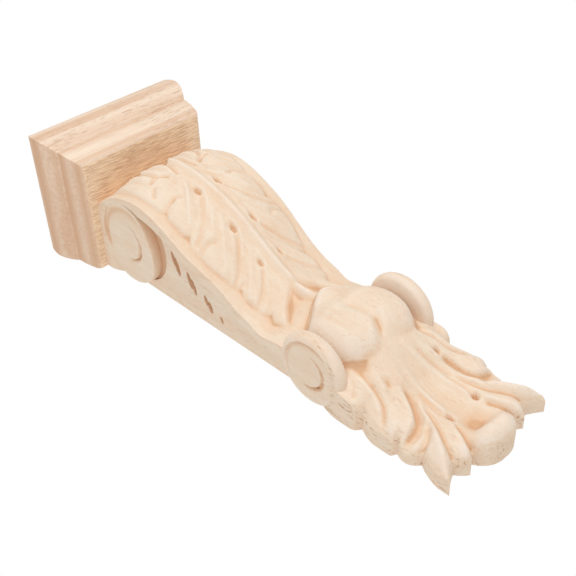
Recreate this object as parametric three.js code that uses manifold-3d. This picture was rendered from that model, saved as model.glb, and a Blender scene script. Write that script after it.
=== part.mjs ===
// A carved wooden corbel in millimetres, upright, its back in the plane y = 0 and its
// front facing -y. Two pieces of wood: the moulded block at the top, and the scroll
// below it with its volutes, acanthus leaves and bulb, carved from one blank.
// In this file a "drop" is a distance below the top of the block, and a "depth" is a
// distance in front of the back.
import * as THREE from 'three';
import Module from 'manifold-3d';

const wasm = await Module();
wasm.setup();

// whole corbel
const LENGTH = 250;
const WOOD_RED = 0xe2bd96;
const WOOD_PALE = 0xefd7b8;

// moulded block
const CAP_WIDTH = 82;
const CAP_DEPTH = 64.2;
const CAP_HEIGHT = 33.3;
const OVOLO_HEIGHT = 18.2;
const OVOLO_INSET = 2.6;
const OVOLO_BULGE = 1.5;
const QUIRK = 0.9;
const COVE_HEIGHT = 12.2;
const COVE_INSET = 1.7;
const ROLL_INSET = 3;

// scroll
const BODY_WIDTH = 60.6;
const BORDER = 6;
const PANEL_DEPTH = 4.5;
const RIBBON = 6;
const COLUMNS = 84;
const ROWS = 230;
const FINENESS = 0.45;
// side outline of the scroll: drop below the top, depth at the front edge
const SCROLL_LINE = [
  [33.3, 36], [42.7, 42.8], [51, 46.6], [62, 49], [72, 48.4], [82, 45.2], [94, 39.3],
  [105, 32.3], [115, 25.4], [124, 19.6], [133, 15.8], [141, 14.6], [147, 17], [154, 19],
  [164, 18], [178, 16], [190, 15], [200, 13.8], [210, 12], [225, 10.5], [252, 9.5],
];

// upper acanthus leaf, hanging from the block
const LEAF_TOP_LINE = [
  [33.3, 1.5], [38, 4.5], [45, 7.5], [53, 8.4], [68, 7.6], [80, 8.6], [91, 10.4],
  [102, 12], [112, 12.8], [122, 13.4], [132, 12.6], [142, 11.4],
];
const LEAF_EDGE = 2.6;
const LEAF_END = 141.5;
const RIB_HEIGHT = 2.8;
const RIB_WIDTH = 2.6;
const NOTCHES = [69.5, 80, 95, 118, 136];
const NOTCH_DEPTH = 3.2;
const VEIN_START = 5;
const VEIN_DROP = 13.5;
const LOBE_RELIEF = 2.8;
const LOBE_DOME = 1.4;

// bulb and its collar
const COLLAR_DROP = 147;
const COLLAR_SWEEP = 13;
const COLLAR_DEPTH = 27.8;
const BULB_DROP = 174;
const BULB_OFFSET = 9.6;
const BULB_WIDTH = 23;
const BULB_LENGTH = 36;
const BULB_FOOT = 23.5;
const BULB_SQUARENESS = 2.4;
const BULB_RISE = 12;

// lower leaf
const ROOT_DROP = 188;
const ROOT_RISE = 12.5;
const ROOT_FADE = 16;
const ROOT_WIDTH = 27;
const TONGUE_DROP = 242.4;
const TONGUE_RISE = 8.4;
const TONGUE_WIDTH = 24.5;
const TONGUE_LENGTH = 17;
const BOWL_DROP = 230;
const BOWL_SINK = 2.4;
// half of the outline from the small volute to the middle of the tip: sideways
// position, drop, and how far the edge bulges out on the way there
const LEAF_OUTLINE = [
  [30.3, 188, 0], [29.6, 198.8, 0.9], [27.2, 200.8, 0], [30.1, 218, 1.7],
  [27.7, 219.4, 0], [25.6, 229.8, 2.4], [30.8, 246.9, 1.4], [21.4, 241.2, -0.4],
  [16.9, 245.9, 0.3], [12.4, 242.8, 0], [0, 250, 3.4],
];
// grooves and ribs of the lower leaf: start, bend and end of each (sideways, drop),
// its height (grooves below zero) and its half width
const STROKES = [
  [20, 191, 22, 198, 28, 201, -2.2, 1.6],
  [14, 203, 13.5, 217, 28.5, 219.5, -2.8, 1.8],
  [10.5, 209, 14.5, 226, 26.5, 230, -2.2, 1.6],
  [8.2, 229, 13, 238, 22, 242.5, -2.4, 1.7],
  [7.6, 229, 11, 236, 12.8, 244, -2.6, 1.6],
  [18, 196, 20.5, 205, 26, 211, -1.4, 1.4],
  [7, 194, 8, 216, 7.8, 229, -1.7, 1.5],
  [11.5, 210, 14, 225, 24, 238, -1.1, 1.3],
  [4, 193, 8, 220, 27.5, 244, 1.8, 2.2],
  [10, 194, 15, 209, 28, 216, 1.5, 2.2],
  [9, 200, 12.5, 219, 26, 226, 1.4, 1.8],
  [16, 191, 20, 194, 28, 197, 1.2, 2],
  [4.4, 200, 7, 232, 16.5, 244, 1.2, 1.7],
];

// volutes: middle of each (depth, drop), radius of the wheel and of its face
const UPPER_VOLUTE = {
  depth: 23.1, drop: 54.2, radius: 21.6, face: 21, round: 0.8, lean: 0, thick: 7, eye: 10.4,
};
const LOWER_VOLUTE = {
  depth: 15.7, drop: 174, radius: 18.8, face: 17.2, round: 3.2, lean: 1.2, thick: 6.2, eye: 10,
};
const VOLUTE_STEPS = 40;
const EYE_CUT = 1.3;
// gouge cuts in the side panels: depth, drop, length, width
const GOUGES = [
  [23.6, 85, 12, 3.2], [16.2, 95.4, 13, 3.2], [11.4, 106, 10, 2.8], [7.2, 114.6, 5, 2.2],
];

const half = BODY_WIDTH / 2;
const topZ = LENGTH / 2;

function clamp(value, low, high) {
  return Math.min(high, Math.max(low, value));
}

// 0 below the first value, 1 above the second, a smooth rise between them
function rise(from, to, value) {
  const t = clamp((value - from) / (to - from), 0, 1);
  return t * t * (3 - 2 * t);
}

// smooth curve through the stations of a line
function along(line, at) {
  const last = line.length - 1;
  const v = clamp(at, line[0][0], line[last][0]);
  let i = 0;
  while (i < last - 1 && v > line[i + 1][0]) {
    i += 1;
  }
  const slope = (k) => {
    const a = line[Math.max(k - 1, 0)];
    const b = line[Math.min(k + 1, last)];
    return (b[1] - a[1]) / (b[0] - a[0]);
  };
  const span = line[i + 1][0] - line[i][0];
  const t = (v - line[i][0]) / span;
  const t2 = t * t;
  const t3 = t2 * t;
  return (2 * t3 - 3 * t2 + 1) * line[i][1] + (t3 - 2 * t2 + t) * span * slope(i)
    + (3 * t2 - 2 * t3) * line[i + 1][1] + (t3 - t2) * span * slope(i + 1);
}

// polylines of the grooves and ribs, each a bent line from its start to its end
const strokeLines = STROKES.map(([x0, w0, x1, w1, x2, w2]) => {
  const curve = new THREE.QuadraticBezierCurve(
    new THREE.Vector2(x0, w0), new THREE.Vector2(x1, w1), new THREE.Vector2(x2, w2),
  );
  return curve.getPoints(10);
});

function distanceTo(points, x, w) {
  let best = Infinity;
  for (let i = 1; i < points.length; i += 1) {
    const ax = points[i - 1].x;
    const aw = points[i - 1].y;
    const dx = points[i].x - ax;
    const dw = points[i].y - aw;
    const t = clamp(((x - ax) * dx + (w - aw) * dw) / (dx * dx + dw * dw), 0, 1);
    best = Math.min(best, Math.hypot(x - ax - t * dx, w - aw - t * dw));
  }
  return best;
}

// raised height of the upper leaf above the plain scroll
function upperLeaf(a, w) {
  const reach = half - BORDER;
  const out = clamp((reach - 2.4 - a) / (reach - 2.4 - VEIN_START), 0, 1);
  const vein = w + VEIN_DROP * out ** 1.6 + 2.4 * Math.max(0, VEIN_START - a);
  let notch = 0;
  for (const at of NOTCHES) {
    notch = Math.max(notch, 1 - Math.abs(w - at) / 4);
  }
  const edge = reach + 0.8 - NOTCH_DEPTH * notch ** 1.5;
  const cross = Math.max(0, 1 - (a / reach) ** 2.1);
  const top = along(LEAF_TOP_LINE, w);
  const sink = Math.min(RIB_HEIGHT, top * 0.4);
  let height = LEAF_EDGE * Math.min(1, top / 5) + cross * (top - sink - LEAF_EDGE);
  height += sink * Math.exp(-((a / RIB_WIDTH) ** 2));
  let before = 42;
  for (const at of [...NOTCHES, 158]) {
    if (vein >= before && vein < at) {
      const s = (vein - before) / (at - before);
      const dome = 4 * s * (1 - s);
      const depth = LOBE_RELIEF * rise(2.5, 10, a);
      height -= depth * (1 - dome) ** 1.6;
      height += LOBE_DOME * dome * Math.exp(-(((a - 16.5) / 5) ** 2));
    }
    before = at;
  }
  const body = rise(edge + 0.2, edge - 1.7, a) * rise(LEAF_END + 0.6, LEAF_END - 1.6, w);
  return Math.max(0, height) * body;
}

// depth of the bulb, its two lobes side by side, and of the collar round its top
function bulb(a, w) {
  const u = Math.abs(a - BULB_OFFSET) / (BULB_WIDTH / 2);
  const v = Math.abs(w - BULB_DROP) / (BULB_LENGTH / 2);
  const r = u ** BULB_SQUARENESS + v ** BULB_SQUARENESS;
  const foot = BULB_FOOT - 5;
  const lobe = r < 1 ? foot + (BULB_FOOT + BULB_RISE - foot) * Math.sqrt(1 - r) : 0;
  const collarEdge = COLLAR_DROP + COLLAR_SWEEP * (a / 22) ** 2;
  const inside = rise(collarEdge - 0.6, collarEdge + 1.2, w) * rise(192, 184, w) * rise(21.6, 19.8, a);
  const collar = COLLAR_DEPTH - 5 * (a / 22) ** 2;
  return [lobe, collar, inside];
}

// front of the scroll at a sideways position and a drop
function frontDepth(x, w) {
  const a = Math.abs(x);
  const ground = along(SCROLL_LINE, w);
  let depth = ground;
  if (w < LEAF_END + 2) {
    depth = ground + upperLeaf(a, w);
  }
  const bridge = 26.6 * Math.exp(-((a / 2.4) ** 2));
  if (w > LEAF_END - 2 && w < COLLAR_DROP + 3) {
    depth = Math.max(depth, bridge);
  }
  const [lobe, collar, inside] = bulb(a, w);
  depth = Math.max(depth, depth + (collar - depth) * inside, lobe);
  if (w > 184) {
    const fade = Math.exp(-((Math.max(0, w - ROOT_DROP) / ROOT_FADE) ** 2));
    const root = ROOT_RISE * fade * Math.max(0, 1 - (a / ROOT_WIDTH) ** 2);
    let leaf = ground + root;
    leaf += 1.6 * rise(206, 222, w) * (1 - Math.exp(-((a / 9) ** 2)));
    const tongue = Math.hypot((2 * a) / TONGUE_WIDTH, (2 * (w - TONGUE_DROP)) / TONGUE_LENGTH);
    leaf += TONGUE_RISE * Math.max(0, 1 - tongue ** 2.6) ** 0.75;
    const bowl = Math.hypot(a / 7, (w - BOWL_DROP) / 8);
    leaf -= BOWL_SINK * Math.exp(-(bowl ** 2));
    strokeLines.forEach((line, i) => {
      const far = distanceTo(line, a, w) / STROKES[i][7];
      leaf += STROKES[i][6] * Math.exp(-(far ** 2));
    });
    depth = Math.max(leaf, lobe) * rise(184, 190, w) + depth * rise(190, 184, w);
  }
  return depth;
}

// one closed solid from positions and triangles
function solid(positions, triangles) {
  const mesh = new wasm.Mesh({
    numProp: 3,
    vertProperties: new Float32Array(positions),
    triVerts: new Uint32Array(triangles),
  });
  return new wasm.Manifold(mesh);
}

// closed solid through rings that all have the same number of points
function loft(rings, firstHub, lastHub) {
  const count = rings[0].length;
  const positions = [...rings.flat(2), ...firstHub, ...lastHub];
  const triangles = [];
  for (let j = 0; j < rings.length - 1; j += 1) {
    for (let i = 0; i < count; i += 1) {
      const a = j * count + i;
      const b = j * count + ((i + 1) % count);
      triangles.push(a, b + count, b, a, a + count, b + count);
    }
  }
  const first = rings.length * count;
  const end = (rings.length - 1) * count;
  for (let i = 0; i < count; i += 1) {
    const next = (i + 1) % count;
    triangles.push(first, i, next, first + 1, end + next, end + i);
  }
  return solid(positions, triangles);
}

// prism of an outline in the plane of the back, from one depth to another
function prism(outline, from, to) {
  const shape = new THREE.Shape(outline.map(([x, w]) => new THREE.Vector2(x, topZ - w)));
  const geometry = new THREE.ExtrudeGeometry(shape, { depth: to - from, bevelEnabled: false });
  geometry.rotateX(Math.PI / 2);
  geometry.translate(0, -from, 0);
  return welded(geometry);
}

// solid of a three.js geometry, its equal corners joined
function welded(geometry) {
  const source = geometry.index ? geometry.toNonIndexed() : geometry;
  const at = source.getAttribute('position');
  const known = new Map();
  const positions = [];
  const corners = [];
  for (let i = 0; i < at.count; i += 1) {
    const p = [at.getX(i), at.getY(i), at.getZ(i)];
    const key = p.map((v) => Math.round(v * 1e4)).join(' ');
    if (!known.has(key)) {
      known.set(key, positions.length / 3);
      positions.push(...p);
    }
    corners.push(known.get(key));
  }
  const triangles = [];
  for (let i = 0; i < corners.length; i += 3) {
    const [a, b, c] = corners.slice(i, i + 3);
    if (a !== b && b !== c && a !== c) {
      triangles.push(a, b, c);
    }
  }
  return solid(positions, triangles);
}

// wheel on the side of the scroll, turned about the sideways axis; its rim leans
// forwards and down from the face to the inside
function wheel(volute, side, inner) {
  const profile = [new THREE.Vector2(0, inner), new THREE.Vector2(volute.radius, inner)];
  for (let k = 0; k <= 3; k += 1) {
    const turn = (Math.PI / 2) * (k / 3);
    profile.push(new THREE.Vector2(
      volute.face + (volute.radius - volute.face) * Math.cos(turn),
      half - volute.round + volute.round * Math.sin(turn),
    ));
  }
  profile.push(new THREE.Vector2(0, half));
  const geometry = new THREE.LatheGeometry(profile, VOLUTE_STEPS);
  geometry.rotateZ(-Math.PI / 2);
  if (side < 0) {
    geometry.rotateY(Math.PI);
  }
  const at = geometry.getAttribute('position');
  for (let i = 0; i < at.count; i += 1) {
    const lean = volute.lean * clamp((half - Math.abs(at.getX(i))) / volute.round, 0, 1);
    at.setXYZ(i, at.getX(i), at.getY(i) - volute.depth - lean, at.getZ(i) + topZ - volute.drop - lean);
  }
  return welded(geometry);
}

// round bar across the scroll, for the cuts in the faces of the volutes
function bar(depth, drop, radius, from, to) {
  const geometry = new THREE.CylinderGeometry(radius, radius, Math.abs(to - from), 28);
  geometry.rotateZ(Math.PI / 2);
  geometry.translate((from + to) / 2, -depth, topZ - drop);
  return welded(geometry);
}

// moulding of the block: inset and drop, from the top edge down
function moulding() {
  const line = [];
  for (let k = 0; k <= 9; k += 1) {
    const t = k / 9;
    line.push([OVOLO_INSET * t ** 2.6 - OVOLO_BULGE * Math.sin(Math.PI * t), OVOLO_HEIGHT * t]);
  }
  const quirk = OVOLO_INSET + QUIRK;
  line.push([quirk, OVOLO_HEIGHT + 0.4]);
  for (let k = 1; k <= 4; k += 1) {
    const t = k / 4;
    line.push([quirk + COVE_INSET * t ** 1.8, OVOLO_HEIGHT + 0.4 + COVE_HEIGHT * t]);
  }
  const [inset, drop] = line[line.length - 1];
  for (let k = 1; k <= 3; k += 1) {
    const turn = (Math.PI / 2) * (k / 3);
    line.push([
      inset + ROLL_INSET * (1 - Math.cos(turn)),
      drop + (CAP_HEIGHT - drop) * Math.sin(turn),
    ]);
  }
  return line;
}

function makeCap() {
  const rings = moulding().map(([inset, drop]) => {
    const x = CAP_WIDTH / 2 - inset;
    const y = -(CAP_DEPTH - inset);
    const z = topZ - drop;
    return [[-x, 0, z], [-x, y, z], [x, y, z], [x, 0, z]];
  });
  const middle = -CAP_DEPTH / 2;
  return loft(rings, [0, middle, topZ], [0, middle, topZ - CAP_HEIGHT]);
}

// points of one cross-section of the scroll, round from the left front edge
function crossSection(w) {
  const z = topZ - w;
  const points = [];
  for (let i = 0; i <= COLUMNS; i += 1) {
    const t = (2 * i) / COLUMNS - 1;
    const x = half * Math.sign(t) * (0.86 * Math.abs(t) + 0.14 * t * t);
    points.push([x, -frontDepth(x, w), z]);
  }
  const front = frontDepth(half, w);
  const sunk = PANEL_DEPTH * rise(36, 50, w) * rise(190, 168, w);
  const ribbon = Math.min(RIBBON, front * 0.45);
  const side = [
    [half, front - ribbon],
    [half - sunk * 0.72, front - ribbon - Math.min(3, front * 0.15)],
    [half - sunk, (front - ribbon) * 0.5],
    [half - sunk, 0],
  ];
  side.forEach(([x, depth]) => points.push([x, -depth, z]));
  side.reverse().forEach(([x, depth]) => points.push([-x, -depth, z]));
  return points;
}

function leafOutline() {
  const line = [];
  for (let i = 1; i < LEAF_OUTLINE.length; i += 1) {
    const [x0, w0] = LEAF_OUTLINE[i - 1];
    const [x1, w1, bulge] = LEAF_OUTLINE[i];
    const long = Math.hypot(x1 - x0, w1 - w0);
    const steps = Math.max(1, Math.round(long / 3.2));
    for (let k = 0; k < steps; k += 1) {
      const t = k / steps;
      const out = (4 * bulge * t * (1 - t)) / long;
      line.push([x0 + (x1 - x0) * t + (w1 - w0) * out, w0 + (w1 - w0) * t - (x1 - x0) * out]);
    }
  }
  const tip = LEAF_OUTLINE[LEAF_OUTLINE.length - 1];
  const mirrored = [...line].reverse().map(([x, w]) => [-x, w]);
  const wide = half + 4;
  return [
    [wide, CAP_HEIGHT - 5], [wide, 187], ...line, [tip[0], tip[1]],
    ...mirrored, [-wide, 187], [-wide, CAP_HEIGHT - 5],
  ];
}

function makeScroll() {
  const rings = [];
  for (let j = 0; j <= ROWS; j += 1) {
    rings.push(crossSection(CAP_HEIGHT + ((LENGTH + 2 - CAP_HEIGHT) * j) / ROWS));
  }
  const last = topZ - LENGTH - 2;
  let body = loft(rings, [0, -12, topZ - CAP_HEIGHT], [0, -4, last]).simplify(FINENESS);
  for (const side of [-1, 1]) {
    for (const volute of [UPPER_VOLUTE, LOWER_VOLUTE]) {
      body = body.add(wheel(volute, side, half - volute.thick));
    }
  }
  const outline = leafOutline();
  body = body.intersect(prism(outline, 0, 80));
  const below = [
    [-half - 9, CAP_HEIGHT], [half + 9, CAP_HEIGHT], [half + 9, LENGTH + 9], [-half - 9, LENGTH + 9],
  ];
  body = body.intersect(prism(below, 0, 90));
  for (const side of [-1, 1]) {
    for (const volute of [UPPER_VOLUTE, LOWER_VOLUTE]) {
      const near = side * (half - EYE_CUT);
      const far = side * (half + 3);
      const ring = bar(volute.depth, volute.drop, volute.eye, near, far);
      const core = bar(volute.depth + 0.5, volute.drop - 1.5, volute.eye - 0.4, near, far);
      body = body.subtract(ring.subtract(core));
    }
    for (const [depth, drop, long, wide] of GOUGES) {
      const cut = new THREE.SphereGeometry(1, 8, 5);
      cut.scale(2.2, long / 2, wide / 2);
      cut.rotateX(-0.28);
      cut.translate(side * (half - PANEL_DEPTH), -depth, topZ - drop);
      body = body.subtract(welded(cut));
    }
  }
  return body;
}

function piece(name, form, color) {
  const made = form.getMesh();
  const geometry = new THREE.BufferGeometry();
  const corners = Float32Array.from(made.vertProperties);
  geometry.setAttribute('position', new THREE.BufferAttribute(corners, made.numProp));
  geometry.setIndex(new THREE.BufferAttribute(Uint32Array.from(made.triVerts), 1));
  geometry.computeVertexNormals();
  const mesh = new THREE.Mesh(geometry, new THREE.MeshStandardMaterial({ color, roughness: 0.7 }));
  mesh.name = name;
  return mesh;
}

const group = new THREE.Group();
group.name = 'wooden_corbel';
group.add(piece('cap_block', makeCap(), WOOD_RED));
group.add(piece('carved_scroll', makeScroll(), WOOD_PALE));

export default group;
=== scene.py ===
"""A carved wooden corbel: a moulded cap on a carved scroll, both of bare pale wood.

Places and sizes of objects are in metres, in the row's frame: the back is at y = 0 and
the carved front faces -y. The carving itself is worked out in millimetres, where a
"drop" is a distance below the top of the cap and a "depth" a distance in front of the
back.
"""

import math

import bpy
import numpy as np
from bpy.props import FloatProperty, FloatVectorProperty, PointerProperty
from mathutils import Matrix, Vector


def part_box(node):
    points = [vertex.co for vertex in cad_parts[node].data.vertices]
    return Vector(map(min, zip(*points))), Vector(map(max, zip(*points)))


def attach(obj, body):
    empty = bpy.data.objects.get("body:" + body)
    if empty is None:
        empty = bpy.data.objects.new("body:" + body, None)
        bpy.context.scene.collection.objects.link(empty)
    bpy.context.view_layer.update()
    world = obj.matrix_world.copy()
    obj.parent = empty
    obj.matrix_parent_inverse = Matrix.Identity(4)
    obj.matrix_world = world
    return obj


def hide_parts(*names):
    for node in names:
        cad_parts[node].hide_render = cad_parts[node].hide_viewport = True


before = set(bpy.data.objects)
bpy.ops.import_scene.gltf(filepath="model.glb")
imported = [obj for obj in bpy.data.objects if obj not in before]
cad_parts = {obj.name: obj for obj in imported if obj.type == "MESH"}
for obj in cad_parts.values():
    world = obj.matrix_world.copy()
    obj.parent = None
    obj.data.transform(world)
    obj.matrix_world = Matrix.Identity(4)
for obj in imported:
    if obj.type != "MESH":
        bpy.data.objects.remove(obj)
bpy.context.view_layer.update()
CAP_LOW, CAP_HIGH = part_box("cap_block")
BODY_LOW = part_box("carved_scroll")[0]

bl_info = {
    "name": "Carved corbel",
    "version": (1, 0, 0),
    "blender": (4, 5, 0),
    "location": "View3D > Sidebar > Corbel",
    "description": "Builds a carved wooden corbel round its packed solids",
    "category": "Add Mesh",
}

MM = 0.001
TOP = CAP_HIGH[2] / MM

# moulding of the cap: height of each half of its quirk, in metres, and steps of its curves
QUIRK_STEP = 0.0004
OVOLO_STEPS = 18
COVE_STEPS = 8
ROLL_STEPS = 6

# side outline of the scroll: drop, depth at the front edge
SCROLL_LINE = (
    (33.3, 36), (42.7, 42.8), (51, 46.6), (62, 49), (72, 48.4), (82, 45.2), (94, 39.3),
    (105, 32.3), (115, 25.4), (124, 19.6), (133, 15.8), (141, 14.6), (147, 17), (154, 19),
    (164, 18), (178, 16), (190, 15), (200, 13.8), (210, 12), (225, 10.5), (252, 9.5),
)

# sides: how far the scroll's edges draw in between the upper and the lower volutes, the
# drops where that and the sunk panels start and end, and the step down to the panels
SIDE_DRAW = 3.1
DRAW_STARTS = (93, 122)
SWELL_ENDS = (146, 134)
PANEL_STARTS = (36, 50)
SIDE_ENDS = (190, 168)
PANEL_STEP = 1.3
WORN_ARRIS = 0.7
# columns of the sides: up to 1 the edge ribbon, up to 2 the rest as far as the back
SIDE_STATIONS = (
    0.15, 0.35, 0.6, 0.8, 0.93, 1.0, 1.01, 1.03, 1.05, 1.08, 1.13, 1.22, 1.34, 1.47, 1.6, 1.73, 1.87, 2,
)
# reach of the blocks that cut the carved body to its outline and to the cap's underside
OUTLINE_FRONT = 80
CUTTER_FRONT = 90
CUTTER_FOOT = 260
CUTTER_MARGIN = 9
# gouge cuts in the side panels: depth, drop, length, width, and how deep they go
GOUGES = (
    (25.6, 84, 9, 2.6, 3), (22.4, 86, 10, 3.2, 3), (18.8, 94.4, 9, 3, 3), (16.2, 97, 8.6, 2.6, 2.6),
    (13, 105, 6, 2.6, 2.6), (10.4, 107.6, 6.4, 3.2, 2.4), (7.2, 115, 4, 2, 1.6), (25.4, 76.6, 8, 1.6, 0.9),
)
GOUGE_LEAN = 0.28
# round sinking beside the upper wheel: depth, drop, radius, and how deep it goes
SINKING = (24, 57.4, 20.8, 1.1)

# upper leaf: drop, height of its middle above the scroll
LEAF_TOP_LINE = (
    (33.3, 0.5), (38, 2.6), (45, 6.9), (53, 8.4), (68, 7.6), (80, 8.6), (91, 10.4),
    (102, 12), (112, 12.8), (122, 13.4), (132, 12.6), (142, 11.4),
)
# outer edge of the upper leaf: drop, distance from the middle, and its notches
LEAF_SIDE_LINE = (
    (33, 25.6), (48, 26.2), (61, 26.4), (74, 25.8), (90, 25), (107, 26), (117, 24), (130, 22.4), (150, 20),
)
NOTCHES = (79.5, 94, 122.6, 139)
NOTCH_DEPTH = 2.2
NOTCH_REACH = 4
LEAF_EDGE = 1.5
# share of the scroll's drawing in that the leaf's edge follows
LEAF_FOLLOWS = 0.6
# how full the leaf's cross section is, and how much less so from one drop to another
FULLNESS = 2.1
FULLNESS_LOST = 0.75
FULLNESS_FALLS = (88, 118)
LEAF_END = 137.5
LIP_ROLL = 4.6
LEAF_END_SWEEP = 13
SWEEP_REACH = 18
RIB_HEIGHT = 1.7
RIB_WIDTH = 1.5
VEIN_START = 5
VEIN_DROP = 13.5
VEIN_BEND = 2.4
VEIN_MARGIN = 2.4
LOBE_RELIEF = 0.8
LOBE_DOME = 0.7
LOBE_MIDDLE = 16.5
LOBE_REACH = 5
LOBES_FROM = 42
LOBES_TO = 158
CURL_ENDS = (60, 54)
# the lobes that curl over under the cap: sideways middle, half width, drop of the top
CURLS = ((23, 7.2, 40), (9.2, 6.8, 42.5), (0, 3.4, 50))
# eyes of the upper leaf, where two leaflets part: drop, size of the leaflet above
EYES = ((81, 1.0), (104, 0.95), (120.8, 0.75))
# cuts and ribs that spring from each eye: line of (distance from the middle, drop below
# the eye), depth or height, widths towards the middle and away from it
EYE_CUTS = (
    (((5.4, 1.5), (8, 4.8), (11, 8.8), (15.5, 13.4), (20.5, 16.6), (25.5, 17.6)), 1.4, 2.8, 0.9),
    (((4.6, -14), (8.6, -7), (13.4, -1), (18.6, 5), (22, 10.5)), 0.6, 1.6, 1.2),
    (((4.0, -10.5), (6.4, -4.5), (9.4, 1.5), (13.6, 8), (17, 13)), 0.6, 1.3, 1.2),
    (((7, -15.5), (12.6, -10.4), (18.6, -6.4), (24, -5)), 0.6, 1.8, 1.2),
)
EYE_RIBS = (
    (((4.4, -12.6), (7.6, -6.4), (11.6, -0.8), (16.6, 6.2), (21.5, 11.8)), 0.5, 0.7, 0.7),
    (((3.5, -9), (4.1, -2), (4.9, 3), (7.6, 7.6), (11.4, 12)), 0.9, 0.9, 0.9),
    (((6, -14.8), (11, -8), (17, -1.8), (22.5, 3.2)), 0.4, 0.7, 0.7),
    (((9.5, 3.4), (14, 9.4), (19, 14)), 0.5, 1.4, 1.4),
)
# single cuts and ribs of the upper leaf, given the same way with their own drop
UPPER_CUTS = (
    (((8.4, 66), (11, 62.6), (15, 61), (19, 63)), 2.2, 1.5, 1.5),
    (((18, 66), (20.6, 67.8), (23.2, 71)), 1.6, 1.1, 1.1),
    (((14, 80.5), (15.4, 78), (19.6, 77.8), (25.5, 79.6)), 1.5, 0.8, 2.2),
    (((16.4, 106), (17.6, 103.8), (21, 102.6), (25.8, 103.8)), 1.3, 0.8, 2.2),
    (((17, 124), (18.6, 121.6), (21.8, 122.4), (24, 124)), 1.2, 0.8, 2.0),
    (((15.4, 41), (15.8, 48), (14.6, 56), (12.6, 62)), 2.0, 1.4, 1.4),
    (((3.4, 45), (3.4, 52), (4.2, 60), (6, 68)), 1.5, 1.2, 1.2),
    (((20.6, 45), (20.6, 54), (19.4, 62)), 0.7, 1.3, 1.3),
    (((9.4, 46), (9, 54), (8, 61)), 0.7, 1.3, 1.3),
    (((12, 91), (12.8, 94.6), (14.4, 98)), 0.9, 0.9, 0.9),
    (((7, 109.5), (7.6, 114), (9.6, 119)), 0.8, 0.9, 0.9),
    (((3.2, 62), (3.4, 90), (3.2, 136)), 0.5, 0.9, 1.1),
)
UPPER_RIBS = (
    (((5.4, 50), (5.6, 58), (6.4, 66), (9.2, 77), (15, 86)), 0.7, 1.0, 1.0),
    (((17.4, 42), (17.6, 50), (17, 58)), 0.6, 1.3, 1.3),
    (((12, 44), (12.2, 52), (11, 59)), 0.6, 1.3, 1.3),
    (((23.6, 44), (23.6, 54), (22.4, 62)), 0.5, 1.3, 1.3),
)

# bulb and its collar
COLLAR_DROP = 150.5
COLLAR_SWEEP = 12
COLLAR_DEPTH = 30.4
COLLAR_FALL = 9.5
COLLAR_REACH = 20.6
COLLAR_END = 170
BRIDGE_DEPTH = 25.6
BRIDGE_WIDTH = 3.6
WAIST_FILL = 5.6
WAIST_FILL_WIDTH = 11
# how far the scroll's edges fall at the waist, its middle and reach, and how far out
WAIST_DROP = 2.4
WAIST_MIDDLE = 155
WAIST_REACH = 10
WAIST_SIDES = (21, 27)
# drops between which the wood was sanded a little softer
SANDED_STARTS = (138, 144)
SANDED_ENDS = (198, 190)
BULB_FOOT = 18.5
BULB_SPREAD = 14
# reach over which the crease is filled round the bulb, and below it at the lower leaf
BULB_BLEND = 8
LEAF_BLEND = 2
# lobes of the bulb: middle (sideways, drop), half width, half length, turn, depth of the top
BULB_LOBES = (
    (0, 177, 22.6, 17, 0, 32.2),
    (8.8, 177, 12.6, 17.2, 0.14, 33.8),
    (-9.6, 175.8, 13.2, 17.2, -0.22, 33.4),
)
# folds wrapped round the bulb: line of (sideways, drop), height, widths to the two sides
BULB_FOLDS = (
    (((-3.2, 160), (-2.8, 169), (-1.4, 178), (-1.8, 186), (-6, 191)), -1.2, 2.2, 1.2),
    (((0.5, 177), (-3.5, 183), (-8, 188.6), (-12, 191.4)), 0.8, 1.6, 1.6),
    (((3.6, 180), (1.8, 186), (-2.2, 191.6)), 0.8, 1.8, 1.8),
    (((0, 182), (-2.6, 188), (-5.6, 192)), -1.1, 1.2, 1.2),
    (((6, 168), (10.5, 175), (10, 184), (6, 191)), -0.5, 1.6, 1.6),
    (((-13.5, 166), (-14.6, 174), (-12, 183)), -0.4, 1.6, 1.6),
)

# lower leaf, and the drops between which it takes over from the bulb
LOWER_STARTS = (184, 190)
ROOT_DROP = 188
ROOT_RISE = 12.5
ROOT_FADE = 16
ROOT_WIDTH = 27
CHANNEL_SINK = 1.3
CHANNEL_WIDTH = 4.6
CHANNEL_STARTS = (190, 200)
SHOULDER_RISE = 1.6
SHOULDER_STARTS = (206, 222)
SHOULDER_WIDTH = 9
EDGE_ROLL = 6.4
EDGE_FALL = 6.2
EDGE_ROLL_STARTS = (194, 203)
# share by which the edge is rounded less at the tongue
SHARPER_TONGUE = 0.3
TONGUE_DROP = 245.4
TONGUE_RISE = 6.4
TONGUE_WIDTH = 27
TONGUE_LENGTH = 17
BOWL_DROP = 234
BOWL_SINK = 3.4
BOWL_HALF_WIDTH = 7
BOWL_HALF_LENGTH = 5
# half of its outline: sideways place, drop, bulge of the edge on the way there
LEAF_OUTLINE = (
    (30.3, 188, 0), (29.6, 198.8, 0.9), (27.2, 200.8, 0), (30.1, 218, 1.7),
    (27.7, 219.4, 0), (25.6, 229.8, 2.4), (30.8, 246.9, 1.4), (21.4, 241.2, -0.4),
    (16.9, 245.9, 0.3), (12.4, 242.8, 0), (0, 250, 2.4),
)
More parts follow.
